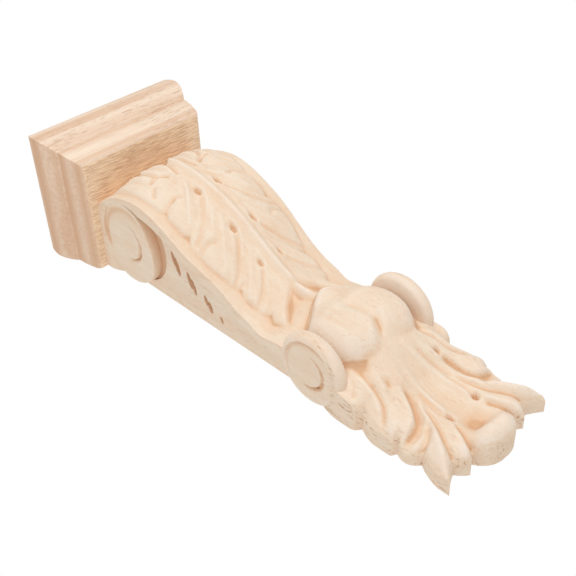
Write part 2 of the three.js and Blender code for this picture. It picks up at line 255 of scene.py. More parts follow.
# cuts of the lower leaf, left and right half: line of (distance from the middle, drop),
# depth, widths towards the middle and away from it
LEFT_CUTS = (
    (((18.8, 190), (19.7, 197), (20.6, 203), (23, 208), (29.5, 213.4)), 1.8, 1.3, 1.0),
    (((10.4, 205), (11.4, 210.5), (14.4, 215.8), (17.2, 219.2), (20.6, 221.8), (30, 222.6)),
     3.0, 4.2, 0.9),
    (((5.6, 208), (6.8, 217), (7.9, 222.6), (6.8, 227)), 1.5, 0.9, 2.2),
    (((8.6, 214), (12.2, 222), (15.6, 229), (19.6, 235.4), (22.4, 242)), 1.9, 1.5, 1.2),
    (((14.5, 222.5), (18, 226.6), (22, 229.4), (28, 230.4)), 1.9, 0.8, 2.6),
    (((7.4, 230), (9.8, 235.4), (12.2, 240.4), (12.6, 245)), 2.2, 1.6, 1.2),
    (((13, 193), (13.6, 199), (15.6, 204), (19, 209)), 0.8, 1.8, 1.8),
    (((22.4, 190.5), (25, 194), (28, 196)), 0.9, 1.0, 1.0),
)
RIGHT_CUTS = (
    (((14, 189), (17.6, 194.3), (19.4, 198.6), (20.8, 203), (23, 208), (29.5, 213.4)), 1.8, 1.3, 1.0),
    (((14.6, 203.8), (16.4, 208.6), (17, 213.5), (17.8, 218.4), (21, 222), (30, 222.8)), 3.0, 4.2, 0.9),
    (((5.8, 196), (7.6, 202), (8.8, 206), (10.2, 210.5), (11.4, 216)), 1.3, 1.4, 1.4),
    (((12.4, 212), (12.8, 220), (14.8, 228), (18.6, 235.4), (22.4, 242)), 1.9, 1.5, 1.2),
    (((8, 211), (9.2, 218), (9.6, 223), (9.3, 228)), 1.4, 0.9, 2.0),
    (((15.4, 222.5), (18.6, 226.6), (22, 229.4), (28, 230.4)), 1.9, 0.8, 2.6),
    (((9.4, 230), (11, 235.6), (12.4, 240.6), (12.6, 245)), 2.2, 1.6, 1.2),
    (((22.4, 190.5), (25, 194), (28, 196)), 0.9, 1.0, 1.0),
)
# ribs and rolls of the lower leaf, given the same way, with their height
LEFT_RIBS = (
    (((20.6, 190), (21.9, 199.5), (22.8, 204), (25.5, 208.6)), 0.7, 0.9, 1.2),
    (((8, 197), (10.8, 204), (12.4, 208.5), (15.4, 214.2), (18.8, 218.6), (23, 220.8)), 0.8, 1.1, 1.5),
    (((6.8, 196), (8.6, 204), (9.2, 210), (11.4, 215.6), (14, 221), (18.2, 229.4), (23, 236), (29.5, 245)),
     1.3, 1.3, 1.6),
    (((3.6, 198), (4.8, 208), (5.2, 214), (5.5, 219.5), (5.6, 225)), 1.0, 1.2, 1.0),
    (((8.6, 228.6), (10.8, 233), (13.4, 238), (16.4, 245)), 1.0, 1.6, 1.6),
    (((14, 196), (18, 206), (23, 214), (28, 219)), 1.0, 3.2, 3.6),
    (((17, 226), (21, 232.6), (27, 241)), 0.6, 3, 3),
)
RIGHT_RIBS = (
    (((16.4, 190), (19.8, 194), (21.8, 199), (23, 204), (26, 209)), 0.7, 0.9, 1.2),
    (((0.8, 192), (3.6, 200.6), (5.4, 207.4), (7, 213), (7.6, 220), (7.4, 226)), 1.1, 1.3, 1.2),
    (((8.4, 196), (12, 203.6), (14.2, 210.5), (15.2, 218.6), (18, 227), (23, 236), (29.5, 245)),
     1.3, 1.3, 1.6),
    (((10.8, 229), (12.2, 233.4), (14.2, 238.4), (16.6, 245)), 1.0, 1.5, 1.5),
    (((15.5, 196), (19, 206), (23.6, 214), (28, 219)), 1.0, 3.2, 3.6),
    (((18, 226), (21.6, 232.6), (27, 241)), 0.6, 3, 3),
)
# hollows: sideways place, drop, half length, half width, depth
LOWER_PITS = (
    (-14.1, 202.4, 2.2, 1.1, 1.3),
    (14.7, 203.4, 1.4, 1.1, 3.2),
    (-6.3, 227.6, 1.7, 1.3, 3.6),
    (9.3, 227.6, 1.7, 1.3, 3.6),
    (-25.2, 225.4, 3.8, 5.6, 1.9),
    (24.6, 225.4, 3.8, 5.6, 1.9),
    (-17.4, 190.6, 4.2, 3.2, 2.8),
    (17.4, 190.6, 4.2, 3.2, 2.8),
)

# volutes: middle (depth, drop), radius of the wheel, of its flat face and of its eye,
# rounding of the rim, thickness, and how far the face lies below the scroll's side
UPPER_VOLUTE = {"depth": 23.1, "drop": 54.2, "radius": 21.6, "face": 21, "eye": 10.4,
                "round": 0.8, "thick": 7, "sunk": 0.35}
LOWER_VOLUTE = {"depth": 15.7, "drop": 174, "radius": 17.2, "face": 13.6, "eye": 8.6,
                "round": 3.6, "thick": 6.6, "sunk": 0}
CRESCENT_CUT = 2.1
WINDING_CUT = 1.3
WINDING_PLACE = 1.62
EYE_DISH = 0.35
# the upper wheel winds in at the lower front: by how much, and the turn where, in degrees
WIND_IN = 3.4
WIND_IN_AT = 72
WIND_IN_REACH = 46
WHEEL_SEGMENTS = 112
FACE_RINGS = 24
RIM_STEPS = 7

# wood: fine tool marks on steep walls, in radians per metre
TOOL_MARKS = 4200
# growth rings of the cap
RING_SCALE = 24
# how fine each mark in the wood is: noise cells in a metre, along each axis
BROAD_BANDS = (95, 70, 3.5)
STREAKS = (700, 560, 9)
FIBRES = (2600, 2100, 60)
PORE_DASHES = (2200, 1900, 190)
DASH_CROWDS = (150, 120, 16)
TORN_FIBRES = (150, 2500, 2500)
WARM_PATCHES = (150, 150, 90)
FLECKS = (1500, 1500, 320)
OPEN_PORES = (950, 950, 230)
PORE_CROWDS = (120, 120, 60)

# painted shade and highlight of the carving: its grid in millimetres, the reaches over which it is
# levelled, in steps of the grid, and the relief that counts as a full hollow (painted shade) or ridge
# (painted highlight)
GRID_STEP = 0.5
GRID_DROPS = (33, 252)
BROAD_REACH = 7
BROAD_RELIEF = 4.5
FINE_REACH = 2
FINE_RELIEF = 4
STEEP_SLOPES = (1.3, 2.6)
# painted shade added on the leaf end's lip and in the bowl of the lower leaf
LIP_SHADE = 0.3
BOWL_SHADE = 0.08

# stage, in metres: where the two soft lights stand, seen from the point they face
LIT_POINT = (0, -0.03, 0)
KEY_FROM = (-0.05, -1.0, -0.12)
FILL_FROM = (-1.0, -0.5, -0.2)
LIGHT_DISTANCE = 0.9
LIGHT_SIZE = 0.7
WALL_SIZE = 6
WALL_PLACE = (0, 0.35, 0)


class CorbelSizes(bpy.types.PropertyGroup):
    """Sizes of the cap and the scroll."""
    cap_width: FloatProperty(
        name="Cap width", description="Width of the cap at its top edge",
        default=0.082, min=0.01, unit="LENGTH")
    cap_depth: FloatProperty(
        name="Cap depth", description="Depth of the cap at its top edge",
        default=0.0642, min=0.01, unit="LENGTH")
    cap_height: FloatProperty(
        name="Cap height", description="Height of the cap",
        default=CAP_HIGH[2] - CAP_LOW[2], min=0.005, unit="LENGTH")
    ovolo_height: FloatProperty(
        name="Ovolo height", description="Height of the bulging top moulding",
        default=0.0182, min=0.001, unit="LENGTH")
    ovolo_inset: FloatProperty(
        name="Ovolo inset", description="How far the top moulding draws in at its foot",
        default=0.0026, min=0, unit="LENGTH")
    ovolo_bulge: FloatProperty(
        name="Ovolo bulge", description="How far the top moulding swells",
        default=0.0015, min=0, unit="LENGTH")
    quirk: FloatProperty(
        name="Quirk", description="Step below the top moulding",
        default=0.0009, min=0, unit="LENGTH")
    cove_height: FloatProperty(
        name="Cove height", description="Height of the lower moulding",
        default=0.0122, min=0.001, unit="LENGTH")
    cove_inset: FloatProperty(
        name="Cove inset", description="How far the lower moulding draws in",
        default=0.0017, min=0, unit="LENGTH")
    roll_inset: FloatProperty(
        name="Roll inset", description="How far the bottom edge rounds in",
        default=0.003, min=0, unit="LENGTH")
    worn_edge: FloatProperty(
        name="Worn edge", description="Rounding of the cap's arrises",
        default=0.0007, min=0.0001, unit="LENGTH")
    body_width: FloatProperty(
        name="Scroll width", description="Width of the scroll",
        default=0.0606, min=0.01, unit="LENGTH")
    border: FloatProperty(
        name="Border", description="Width of the plain border beside the upper leaf",
        default=0.006, min=0.001, unit="LENGTH")
    panel_depth: FloatProperty(
        name="Panel depth", description="How far the side panels lie behind the border",
        default=0.0045, min=0, unit="LENGTH")
    ribbon: FloatProperty(
        name="Ribbon", description="Thickness of the scroll's edge seen from the side",
        default=0.006, min=0.001, unit="LENGTH")
    mesh_step: FloatProperty(
        name="Mesh step", description="Spacing of the carved surface's points",
        default=0.00046, min=0.0003, unit="LENGTH")


class CorbelFinish(bpy.types.PropertyGroup):
    """Colours of the wood, and of the painted shade and highlight on it."""
    cap_pale: FloatVectorProperty(
        name="Cap, pale wood", description="Pale bands of the cap",
        subtype="COLOR", size=3, default=(0.92, 0.77, 0.63), min=0, max=1)
    cap_dark: FloatVectorProperty(
        name="Cap, dark wood", description="Dark bands of the cap",
        subtype="COLOR", size=3, default=(0.71, 0.45, 0.29), min=0, max=1)
    # partly the sawn wood's own warmer colour, partly painted light: brightened so that the underside,
    # which the lamps barely reach, looks lit
    cap_sawn_and_painted_light: FloatVectorProperty(
        name="Cap, sawn underside", description="Wood of the cap's rough underside",
        subtype="COLOR", size=3, default=(1.0, 0.77, 0.54), min=0, max=1)
    scroll_pale: FloatVectorProperty(
        name="Scroll, pale wood", description="Pale bands of the scroll",
        subtype="COLOR", size=3, default=(0.865, 0.73, 0.585), min=0, max=1)
    scroll_dark: FloatVectorProperty(
        name="Scroll, dark wood", description="Dark bands of the scroll",
        subtype="COLOR", size=3, default=(0.82, 0.63, 0.465), min=0, max=1)
    pore: FloatVectorProperty(
        name="Pores", description="Colour of the wood's open pores",
        subtype="COLOR", size=3, default=(0.50, 0.24, 0.10), min=0, max=1)
    # painted shade: this colour is painted into the carving's hollows, the gouges, the leaf end's lip and
    # the bowl where shade falls; it is also the wood's own tone in the random warm patches and flecks
    hollow: FloatVectorProperty(
        name="Hollows", description="Colour of the wood in the hollows of the carving",
        subtype="COLOR", size=3, default=(0.80, 0.48, 0.28), min=0, max=1)
    # painted highlight: this colour is painted on the carving's ridges and on the lower wheels' rims and
    # inner sides
    ridge_highlight: FloatVectorProperty(
        name="Ridges", description="Colour of the wood on the worn ridges",
        subtype="COLOR", size=3, default=(0.90, 0.79, 0.69), min=0, max=1)
    # colour of the real tool marks, and also painted shade in the deepest hollows and pits
    mark: FloatVectorProperty(
        name="Tool marks", description="Colour of the tool marks on steep walls",
        subtype="COLOR", size=3, default=(0.62, 0.36, 0.19), min=0, max=1)


class CorbelStage(bpy.types.PropertyGroup):
    """Camera and lights."""
    camera_place: FloatVectorProperty(
        name="Camera place", description="Where the camera stands",
        subtype="XYZ", size=3, unit="LENGTH", default=(-0.2299, -0.27636, -0.25628))
    view_azimuth: FloatProperty(
        name="View azimuth", description="Direction of the view, turned from +Y towards +X",
        subtype="ANGLE", default=math.radians(41.84))
    view_elevation: FloatProperty(
        name="View elevation", description="How far up the view looks",
        subtype="ANGLE", default=math.radians(35.94))
    view_roll: FloatProperty(
        name="View roll", description="Turn of the picture about the view's own axis",
        subtype="ANGLE", default=math.radians(-59.37))
    lens: FloatProperty(
        name="Lens", description="Focal length in millimetres on a 36 mm wide picture",
        default=60.17, min=1)
    key_power: FloatProperty(
        name="Key light", description="Power of the large soft light",
        unit="POWER", default=4.1, min=0)
    fill_power: FloatProperty(
        name="Fill light", description="Power of the light from the other side",
        unit="POWER", default=0.5, min=0)
    room_light: FloatProperty(
        name="Room light", description="Strength of the light from all round",
        default=0.60, min=0)


def clear_selection():
    if bpy.context.object is not None and bpy.context.object.mode != "OBJECT":
        bpy.ops.object.mode_set(mode="OBJECT")
    bpy.ops.object.select_all(action="DESELECT")


def make_active(piece):
    clear_selection()
    piece.select_set(True)
    bpy.context.view_layer.objects.active = piece


def apply_place(piece):
    make_active(piece)
    bpy.ops.object.transform_apply(location=True, rotation=True, scale=True)


def smooth_by_angle(piece, degrees):
    make_active(piece)
    bpy.ops.object.shade_smooth_by_angle(angle=math.radians(degrees))


def select_edges(mesh, test):
    """Selects the edges whose two ends pass a test, in object mode."""
    for part in (mesh.vertices, mesh.edges, mesh.polygons):
        part.foreach_set("select", [False] * len(part))
    for edge in mesh.edges:
        a, b = (mesh.vertices[i].co for i in edge.vertices)
        edge.select = test(a, b)


# the cap


def moulding(sizes):
    """Stations of the cap's moulding from the top down: inset and drop, in metres."""
    line = []
    for k in range(OVOLO_STEPS + 1):
        t = k / OVOLO_STEPS
        inset = sizes.ovolo_inset * t ** 2.6 - sizes.ovolo_bulge * math.sin(math.pi * t)
        line.append((inset, sizes.ovolo_height * t))
    quirk = sizes.ovolo_inset + sizes.quirk
    foot = sizes.ovolo_height + QUIRK_STEP
    line.append((quirk, foot + QUIRK_STEP))
    for k in range(1, COVE_STEPS + 1):
        t = k / COVE_STEPS
        drop = foot + QUIRK_STEP + (sizes.cove_height - QUIRK_STEP) * t
        line.append((quirk + sizes.cove_inset * t ** 1.8, drop))
    inset, drop = line[-1]
    for k in range(1, ROLL_STEPS + 1):
        turn = math.pi / 2 * k / ROLL_STEPS
        line.append((
            inset + sizes.roll_inset * (1 - math.cos(turn)),
            drop + (sizes.cap_height - drop) * math.sin(turn),
        ))
    return line


def build_cap(sizes):
    """The block's top face drawn down through its moulding, with worn corners."""
    stations = moulding(sizes)
    top = CAP_HIGH[2]
    clear_selection()
    bpy.ops.mesh.primitive_plane_add(size=1, location=(0, -0.5, top))
    block = bpy.context.object
    block.name = "moulded_cap"
    apply_place(block)
    bpy.ops.object.mode_set(mode="EDIT")
    bpy.ops.mesh.select_all(action="SELECT")
    wide = sizes.cap_width - 2 * stations[0][0]
    deep = sizes.cap_depth - stations[0][0]
    bpy.ops.transform.resize(value=(wide, deep, 1), center_override=(0, 0, top))
    for (_, before), (inset, drop) in zip(stations, stations[1:]):
        bpy.ops.mesh.extrude_region_move(TRANSFORM_OT_translate={"value": (0, 0, before - drop)})
        new_wide = sizes.cap_width - 2 * inset
        new_deep = sizes.cap_depth - inset
        bpy.ops.transform.resize(
            value=(new_wide / wide, new_deep / deep, 1), center_override=(0, 0, top - drop))
        wide, deep = new_wide, new_deep
    bpy.ops.mesh.select_all(action="SELECT")
    bpy.ops.mesh.normals_make_consistent(inside=False)
    bpy.ops.object.mode_set(mode="OBJECT")

    def at_corner(a, b):
        return abs(a.z - b.z) > 1e-5 and a.y < -0.01 and b.y < -0.01

    def at_top(a, b):
        return min(a.z, b.z) > top - 1e-5 and min(a.y, b.y) < -0.01

    for test, offset in ((at_corner, sizes.worn_edge), (at_top, sizes.worn_edge)):
        select_edges(block.data, test)
        bpy.ops.object.mode_set(mode="EDIT")
        bpy.ops.mesh.select_mode(type="EDGE")
        bpy.ops.mesh.bevel(offset=offset, segments=3, affect="EDGES", clamp_overlap=True)
        bpy.ops.object.mode_set(mode="OBJECT")
    smooth_by_angle(block, 32)
    return block


# the carving, in millimetres


def rise(start, end, value):
    """0 before start, 1 after end, a smooth rise between them."""
    t = np.clip((value - start) / (end - start), 0, 1)
    return t * t * (3 - 2 * t)


def bump(middle, reach, value):
    return np.exp(-(((value - middle) / reach) ** 2))


def along(line, at):
    """Smooth curve through the stations of a line."""
    xs = np.array([p[0] for p in line], float)
    ys = np.array([p[1] for p in line], float)
    slope = np.gradient(ys, xs)
    slope[1:-1] = (ys[2:] - ys[:-2]) / (xs[2:] - xs[:-2])
    v = np.clip(at, xs[0], xs[-1])
    i = np.clip(np.searchsorted(xs, v, side="right") - 1, 0, len(xs) - 2)
    span = xs[i + 1] - xs[i]
    t = (v - xs[i]) / span
    t2, t3 = t * t, t * t * t
    return ((2 * t3 - 3 * t2 + 1) * ys[i] + (t3 - 2 * t2 + t) * span * slope[i]
            + (3 * t2 - 2 * t3) * ys[i + 1] + (t3 - t2) * span * slope[i + 1])


def between(grid, across, down, step):
    """Values of a grid at places between its points."""
    row = np.clip(down / step, 0, grid.shape[0] - 1.001)
    column = np.clip(across / step, 0, grid.shape[1] - 1.001)
    i, j = row.astype(int), column.astype(int)
    v, u = row - i, column - j
    upper = grid[i, j] * (1 - u) + grid[i, j + 1] * u
    lower = grid[i + 1, j] * (1 - u) + grid[i + 1, j + 1] * u
    return upper * (1 - v) + lower * v


def blurred(field, reach):
    """Running average over a square, made twice for a soft edge."""
    kernel = np.ones(2 * reach + 1) / (2 * reach + 1)
    out = field
    for _ in range(2):
        wide = np.pad(out, ((0, 0), (reach, reach)), mode="edge")
        out = np.apply_along_axis(np.convolve, 1, wide, kernel, "valid")
        tall = np.pad(out, ((reach, reach), (0, 0)), mode="edge")
        out = np.apply_along_axis(np.convolve, 0, tall, kernel, "valid")
    return out


def smooth_line(points, steps=5):
    """Points of a smooth line through the given ones."""
    stations = np.arange(len(points))
    at = np.linspace(0, len(points) - 1, steps * (len(points) - 1) + 1)
    sides = [along(list(zip(stations, values)), at) for values in zip(*points)]
    return np.stack(sides, axis=-1)


def distance_to(points, x, w):
    """Distance to a polyline, how far along it the nearest point is, and its side."""
    best = np.full(np.shape(x), 1e9)
    where = np.zeros(np.shape(x))
    side = np.zeros(np.shape(x))
    last = len(points) - 1
    for i in range(last):
        ax, aw = points[i]
        dx, dw = points[i + 1] - points[i]
        t = np.clip(((x - ax) * dx + (w - aw) * dw) / (dx * dx + dw * dw), 0, 1)
        far = np.hypot(x - ax - t * dx, w - aw - t * dw)
        near = far < best
        best = np.where(near, far, best)
        where = np.where(near, (i + t) / last, where)
        side = np.where(near, dx * (w - aw) - dw * (x - ax), side)
    return best, where, side


def line_share(line, first, second, a, w):
    """Distance from a smooth line as a share of the width on that side, and its fade."""
    far, t, side = distance_to(smooth_line(line), a, w)
    share = far / np.where(side > 0, first, second)
    return share, rise(0, 0.2, t) * rise(1.02, 0.9, t)


def deepest_cut(table, a, w):
    """Depth of a row of gouge cuts that run into each other."""
    deep = np.zeros(np.shape(a))
    for line, depth, first, second in table:
        share, fade = line_share(line, first, second, a, w)
        deep = np.maximum(deep, depth * fade * np.maximum(0, 1 - share ** 2) ** 1.2)
    return deep


def ribs(table, a, w):
    """Height of a row of ribs, or of folds where it is negative."""
    high = np.zeros(np.shape(a))
    for line, height, first, second in table:
        share, fade = line_share(line, first, second, a, w)
        high = high + height * fade * np.exp(-(share ** 2))
    return high


def pit(values, a, w):
    x, drop, long, wide, deep = values
    return -deep * np.exp(-((((a - x) / wide) ** 2 + ((w - drop) / long) ** 2) ** 1.5))


def from_eye(table, eye, size):
    """The cuts or ribs of a table moved to an eye and drawn to its size."""
    return [
        ([(a, eye + size * w) for a, w in line], height * (0.6 + 0.4 * size), first, second)
        for line, height, first, second in table
    ]


def soft_max(a, b, reach):
    """The higher of two surfaces, with the crease between them filled."""
    near = np.maximum(0, 1 - np.abs(a - b) / reach)
    return np.maximum(a, b) + reach * near ** 2 / 4


def side_draw(w):
    """How far the scroll's edge lies in from its full half width."""
    return SIDE_DRAW * rise(*DRAW_STARTS, w) * rise(*SIDE_ENDS, w)


def swell(w):
    """How much deeper the scroll is where its edges draw in."""
    return side_draw(w) * rise(*SWELL_ENDS, w)


def leaf_end(a):
    """Drop at which the upper leaf ends."""
    return LEAF_END + LEAF_END_SWEEP * (a / SWEEP_REACH) ** 1.4


def leaf_lobes(a, vein):
    """Relief of the upper leaf's lobes, one between each two veins."""
    relief = np.zeros_like(a)
    before = LOBES_FROM
    for at in (*NOTCHES, LOBES_TO):
        s = (vein - before) / (at - before)
        inside = (s >= 0) & (s < 1)
        dome = np.where(inside, 4 * s * (1 - s), 0)
        flank = LOBE_RELIEF * rise(2.5, 10, a)
        lobe = -flank * (1 - dome) ** 1.6 + LOBE_DOME * dome * bump(LOBE_MIDDLE, LOBE_REACH, a)
        relief = relief + np.where(inside, lobe, 0)
        before = at
    return relief


def leaf_curl(a, w):
    """1 on the lobes that curl over under the cap, 0 above and between them."""
    curl = np.zeros_like(a)
    for middle, half, drop in CURLS:
        u = np.clip(np.abs(a - middle) / half, 0, 1)
        start = drop + 7 * u ** 2.2
        curl = np.maximum(curl, rise(start - 0.8, start + 3.4, w) * (u < 1))
    return curl


def upper_leaf(a, w, sizes):
    """Height of the upper leaf above the plain scroll."""
    reach = sizes.body_width / MM / 2 - sizes.border / MM
    out = np.clip((reach - VEIN_MARGIN - a) / (reach - VEIN_MARGIN - VEIN_START), 0, 1)
    vein = w + VEIN_DROP * out ** 1.6 + VEIN_BEND * np.maximum(0, VEIN_START - a)
    notch = np.zeros_like(a)
    for at in NOTCHES:
        notch = np.maximum(notch, 1 - np.abs(w - at) / NOTCH_REACH)
    side = along(LEAF_SIDE_LINE, w) - LEAF_FOLLOWS * side_draw(w)
    edge = side - NOTCH_DEPTH * notch ** 1.5
    fullness = FULLNESS - FULLNESS_LOST * rise(*FULLNESS_FALLS, w)
    cross = np.maximum(0, 1 - (a / (side + 0.4)) ** fullness)
    top = along(LEAF_TOP_LINE, w) - swell(w)
    sink = np.minimum(RIB_HEIGHT, top * 0.4)
    height = LEAF_EDGE * np.minimum(1, top / 5) + cross * (top - sink - LEAF_EDGE)
    height = height + sink * np.exp(-((a / RIB_WIDTH) ** 2))
    height = height + leaf_lobes(a, vein)
    deep = deepest_cut(UPPER_CUTS, a, w)
    high = ribs(UPPER_RIBS, a, w)
    for eye, size in EYES:
        deep = np.maximum(deep, deepest_cut(from_eye(EYE_CUTS, eye, size), a, w))
        high = high + ribs(from_eye(EYE_RIBS, eye, size), a, w)
    height = height + high - deep
    for eye, size in EYES:
        height = height + pit((5.9, eye, 1.9 * size + 0.4, 1.1 * size + 0.2, 3.2 * size), a, w)
    height = height * (1 - rise(*CURL_ENDS, w) * (1 - leaf_curl(a, w)))
    lip = np.clip((w - leaf_end(a) + LIP_ROLL) / (LIP_ROLL + 0.8), 0, 1)
    body = rise(edge + 0.2, edge - 1.1, a) * (1 - lip ** 2.4) ** 0.8
    return np.maximum(0, height) * body


def bulb(x, w):
    """Depths of the bulb's two lobes and of the collar, and where the collar reaches."""
    a = np.abs(x)
    lobe = np.zeros(np.shape(x + w)) - 99
    for middle, drop, half_width, half_length, turn, top in BULB_LOBES:
        dx, dw = x - middle, w - drop
        u = np.abs(dx * math.cos(turn) + dw * math.sin(turn)) / half_width
        v = np.abs(-dx * math.sin(turn) + dw * math.cos(turn)) / half_length
        r = u ** 2.2 + v ** 2.2
        dome = BULB_FOOT + (top - BULB_FOOT) * np.sqrt(np.maximum(0, 1 - r))
        lobe = soft_max(lobe, dome - BULB_SPREAD * np.maximum(0, r - 1), BULB_BLEND)
    lobe = lobe + ribs(BULB_FOLDS, x, w)
    edge = COLLAR_DROP + COLLAR_SWEEP * (a / SWEEP_REACH) ** 1.3
    reach = rise(COLLAR_REACH, COLLAR_REACH - 1.6, a)
    inside = rise(edge - 0.5, edge + 0.9, w) * rise(COLLAR_END + 8, COLLAR_END - 3, w) * reach
    collar = COLLAR_DEPTH + 0.1 * (w - COLLAR_DROP) - COLLAR_FALL * (a / COLLAR_REACH) ** 2
    return lobe, collar, inside


def lower_leaf(x, w, ground):
    """Depth of the lower leaf, from its root under the bulb to its curled tip."""
    a = np.abs(x)
    fade = np.exp(-((np.maximum(0, w - ROOT_DROP) / ROOT_FADE) ** 2))
    leaf = ground + ROOT_RISE * fade * np.maximum(0, 1 - (a / ROOT_WIDTH) ** 2)
    leaf = leaf + SHOULDER_RISE * rise(*SHOULDER_STARTS, w) * (1 - bump(0, SHOULDER_WIDTH, a))
    leaf = leaf - CHANNEL_SINK * (bump(0, CHANNEL_WIDTH, a) * rise(*CHANNEL_STARTS, w))
    bowl = np.hypot(a / BOWL_HALF_WIDTH, (w - BOWL_DROP) / BOWL_HALF_LENGTH)
    leaf = leaf - BOWL_SINK * np.exp(-(bowl ** 2))
    leaf = leaf + ribs(LEFT_RIBS, -x, w) + ribs(RIGHT_RIBS, x, w)
    leaf = leaf - np.maximum(deepest_cut(LEFT_CUTS, -x, w), deepest_cut(RIGHT_CUTS, x, w))
    tongue = np.hypot(2 * a / TONGUE_WIDTH, 2 * (w - TONGUE_DROP) / TONGUE_LENGTH)
    leaf = leaf + TONGUE_RISE * rise(1.1, 0.2, tongue)
    for values in LOWER_PITS:
        leaf = leaf + pit(values, x, w)
    return leaf


def front_depth(x, w, sizes):
    """Depth of the carved front at a sideways place and a drop."""
    a = np.abs(x)
    dip = WAIST_DROP * rise(*WAIST_SIDES, a) * bump(WAIST_MIDDLE, WAIST_REACH, w)
    ground = along(SCROLL_LINE, w) + swell(w) - dip
    depth = np.where(w < COLLAR_DROP + 4, ground + upper_leaf(a, w, sizes), ground)
    waist = rise(LEAF_END - 8, LEAF_END, w) * rise(COLLAR_DROP + 20, COLLAR_DROP, w)
    floor = ground + WAIST_FILL * bump(0, WAIST_FILL_WIDTH, a) * waist
    bridge = ground + (BRIDGE_DEPTH - ground) * bump(0, BRIDGE_WIDTH, a) * waist
    depth = np.maximum(depth, np.maximum(floor, bridge))
    lobe, collar, inside = bulb(x, w)
    depth = soft_max(np.maximum(depth, depth + (collar - depth) * inside), lobe, BULB_BLEND)
    below = rise(*LOWER_STARTS, w)
    leaf = soft_max(lower_leaf(x, w, ground), lobe, LEAF_BLEND)
    depth = np.where(w > LOWER_STARTS[0], leaf * below + depth * (1 - below), depth)
    return depth - rolled_edge(x, w) - worn_arris(a, w, sizes)


def rolled_edge(x, w):
    """How far the lower leaf falls off towards its outline."""
    far, inside = outline_distance(x, w)
    share = np.where(inside, np.clip(1 - far / EDGE_ROLL, 0, 1), 1)
    fall = EDGE_FALL * (1 - np.sqrt(np.maximum(0, 1 - share * share)))
    tip = 1 - SHARPER_TONGUE * rise(13, 9, np.abs(x)) * rise(238, 244, w)
    return fall * rise(*EDGE_ROLL_STARTS, w) * tip


def worn_arris(a, w, sizes):
    """How far the worn edge of the scroll's front falls off towards its side."""
    half = sizes.body_width / MM / 2 - side_draw(w)
    past = np.clip(a - (half - WORN_ARRIS), 0, WORN_ARRIS)
    return (WORN_ARRIS - np.sqrt(WORN_ARRIS * WORN_ARRIS - past * past)) * rise(192, 188, w)


def leaf_outline(half):
    """Closed outline of the scroll from the front: sideways place and drop."""
    line = []
    for (x0, w0, _), (x1, w1, bulge) in zip(LEAF_OUTLINE, LEAF_OUTLINE[1:]):
        long = math.hypot(x1 - x0, w1 - w0)
        steps = max(1, round(long / 1.2))
        for k in range(steps):
            t = k / steps
            out = 4 * bulge * t * (1 - t) / long
            line.append((x0 + (x1 - x0) * t + (w1 - w0) * out, w0 + (w1 - w0) * t - (x1 - x0) * out))
    tip = LEAF_OUTLINE[-1]
    mirrored = [(-x, w) for x, w in reversed(line)]
    wide = half + 4
    return [(wide, 28), (wide, 187), *line, (tip[0], tip[1]), *mirrored, (-wide, 187), (-wide, 28)]


def outline_distance(x, w):
    """Distance from the lower leaf's outline, and whether a point is inside it."""
    outline = np.array(leaf_outline(LEAF_OUTLINE[0][0]), float)
    after = np.roll(outline, -1, axis=0)
    best = np.full(np.shape(x), 1e9)
    crossings = np.zeros(np.shape(x), int)
    for (ax, aw), (bx, bw) in zip(outline, after):
        dx, dw = bx - ax, bw - aw
        t = np.clip(((x - ax) * dx + (w - aw) * dw) / (dx * dx + dw * dw), 0, 1)
        best = np.minimum(best, np.hypot(x - ax - t * dx, w - aw - t * dw))
        spans = (aw > w) != (bw > w)
        cross = ax + (w - aw) * dx / (dw if abs(dw) > 1e-9 else 1e-9)
        crossings += spans & (x < cross)
    return best, crossings % 2 == 1


def side_inset(depth, w, front, sizes):
    """How far the side lies in from the scroll's full half width."""
    ribbon = np.minimum(sizes.ribbon / MM, front * 0.45)
    behind = front - depth
    sunk = sizes.panel_depth / MM * rise(*PANEL_STARTS, w) * rise(*SIDE_ENDS, w)
    step = rise(ribbon, ribbon + np.minimum(PANEL_STEP, front * 0.1), behind)
    draw = side_draw(w)
    return draw + np.maximum(0, sunk - draw) * step


def volute_radius(turn):
    """Radius of the upper volute's wheel: it winds in at the lower front."""
    return UPPER_VOLUTE["radius"] - WIND_IN * bump(WIND_IN_AT, WIND_IN_REACH, turn)


def scroll_body(sizes):
    """The scroll without its wheels: front, sides and back, row by row."""
    step = sizes.mesh_step / MM
    half = sizes.body_width / MM / 2
    first = sizes.cap_height / MM - 0.5
    last = -BODY_LOW[2] / MM + TOP + 2
    rows = int((last - first) / step)
    columns = int(2 * half / step)
    w = np.linspace(first, last, rows + 1)[:, None]
    t = np.linspace(-1, 1, columns + 1)[None, :]
    x = (half - side_draw(w)) * t
    depth = front_depth(x, w + 0 * t, sizes)
    sanded = rise(*SANDED_STARTS, w) * rise(*SANDED_ENDS, w)
    depth = blurred(depth, 1) * (1 - sanded) + blurred(depth, 2) * sanded
    front = depth[:, -1:]
    back = np.array(SIDE_STATIONS)[None, :]
    ribbon = np.minimum(sizes.ribbon / MM, front * 0.45)
    near = ribbon * np.minimum(back, 1)
    side_depth = front - near - np.maximum(0, back - 1) * (front - ribbon)
    inset = side_inset(side_depth, w + 0 * back, front + 0 * back, sizes)
    side_x = half - inset
    ring_x = np.concatenate([x, side_x, -side_x[:, ::-1]], axis=1)
    ring_d = np.concatenate([depth, side_depth, side_depth[:, ::-1]], axis=1)
    ring_w = np.broadcast_to(w, ring_x.shape)
    points = np.stack([ring_x, -ring_d, TOP - ring_w], axis=-1).reshape(-1, 3) * MM
    count = ring_x.shape[1]
    return tube(points, rows + 1, count, "carved_body")


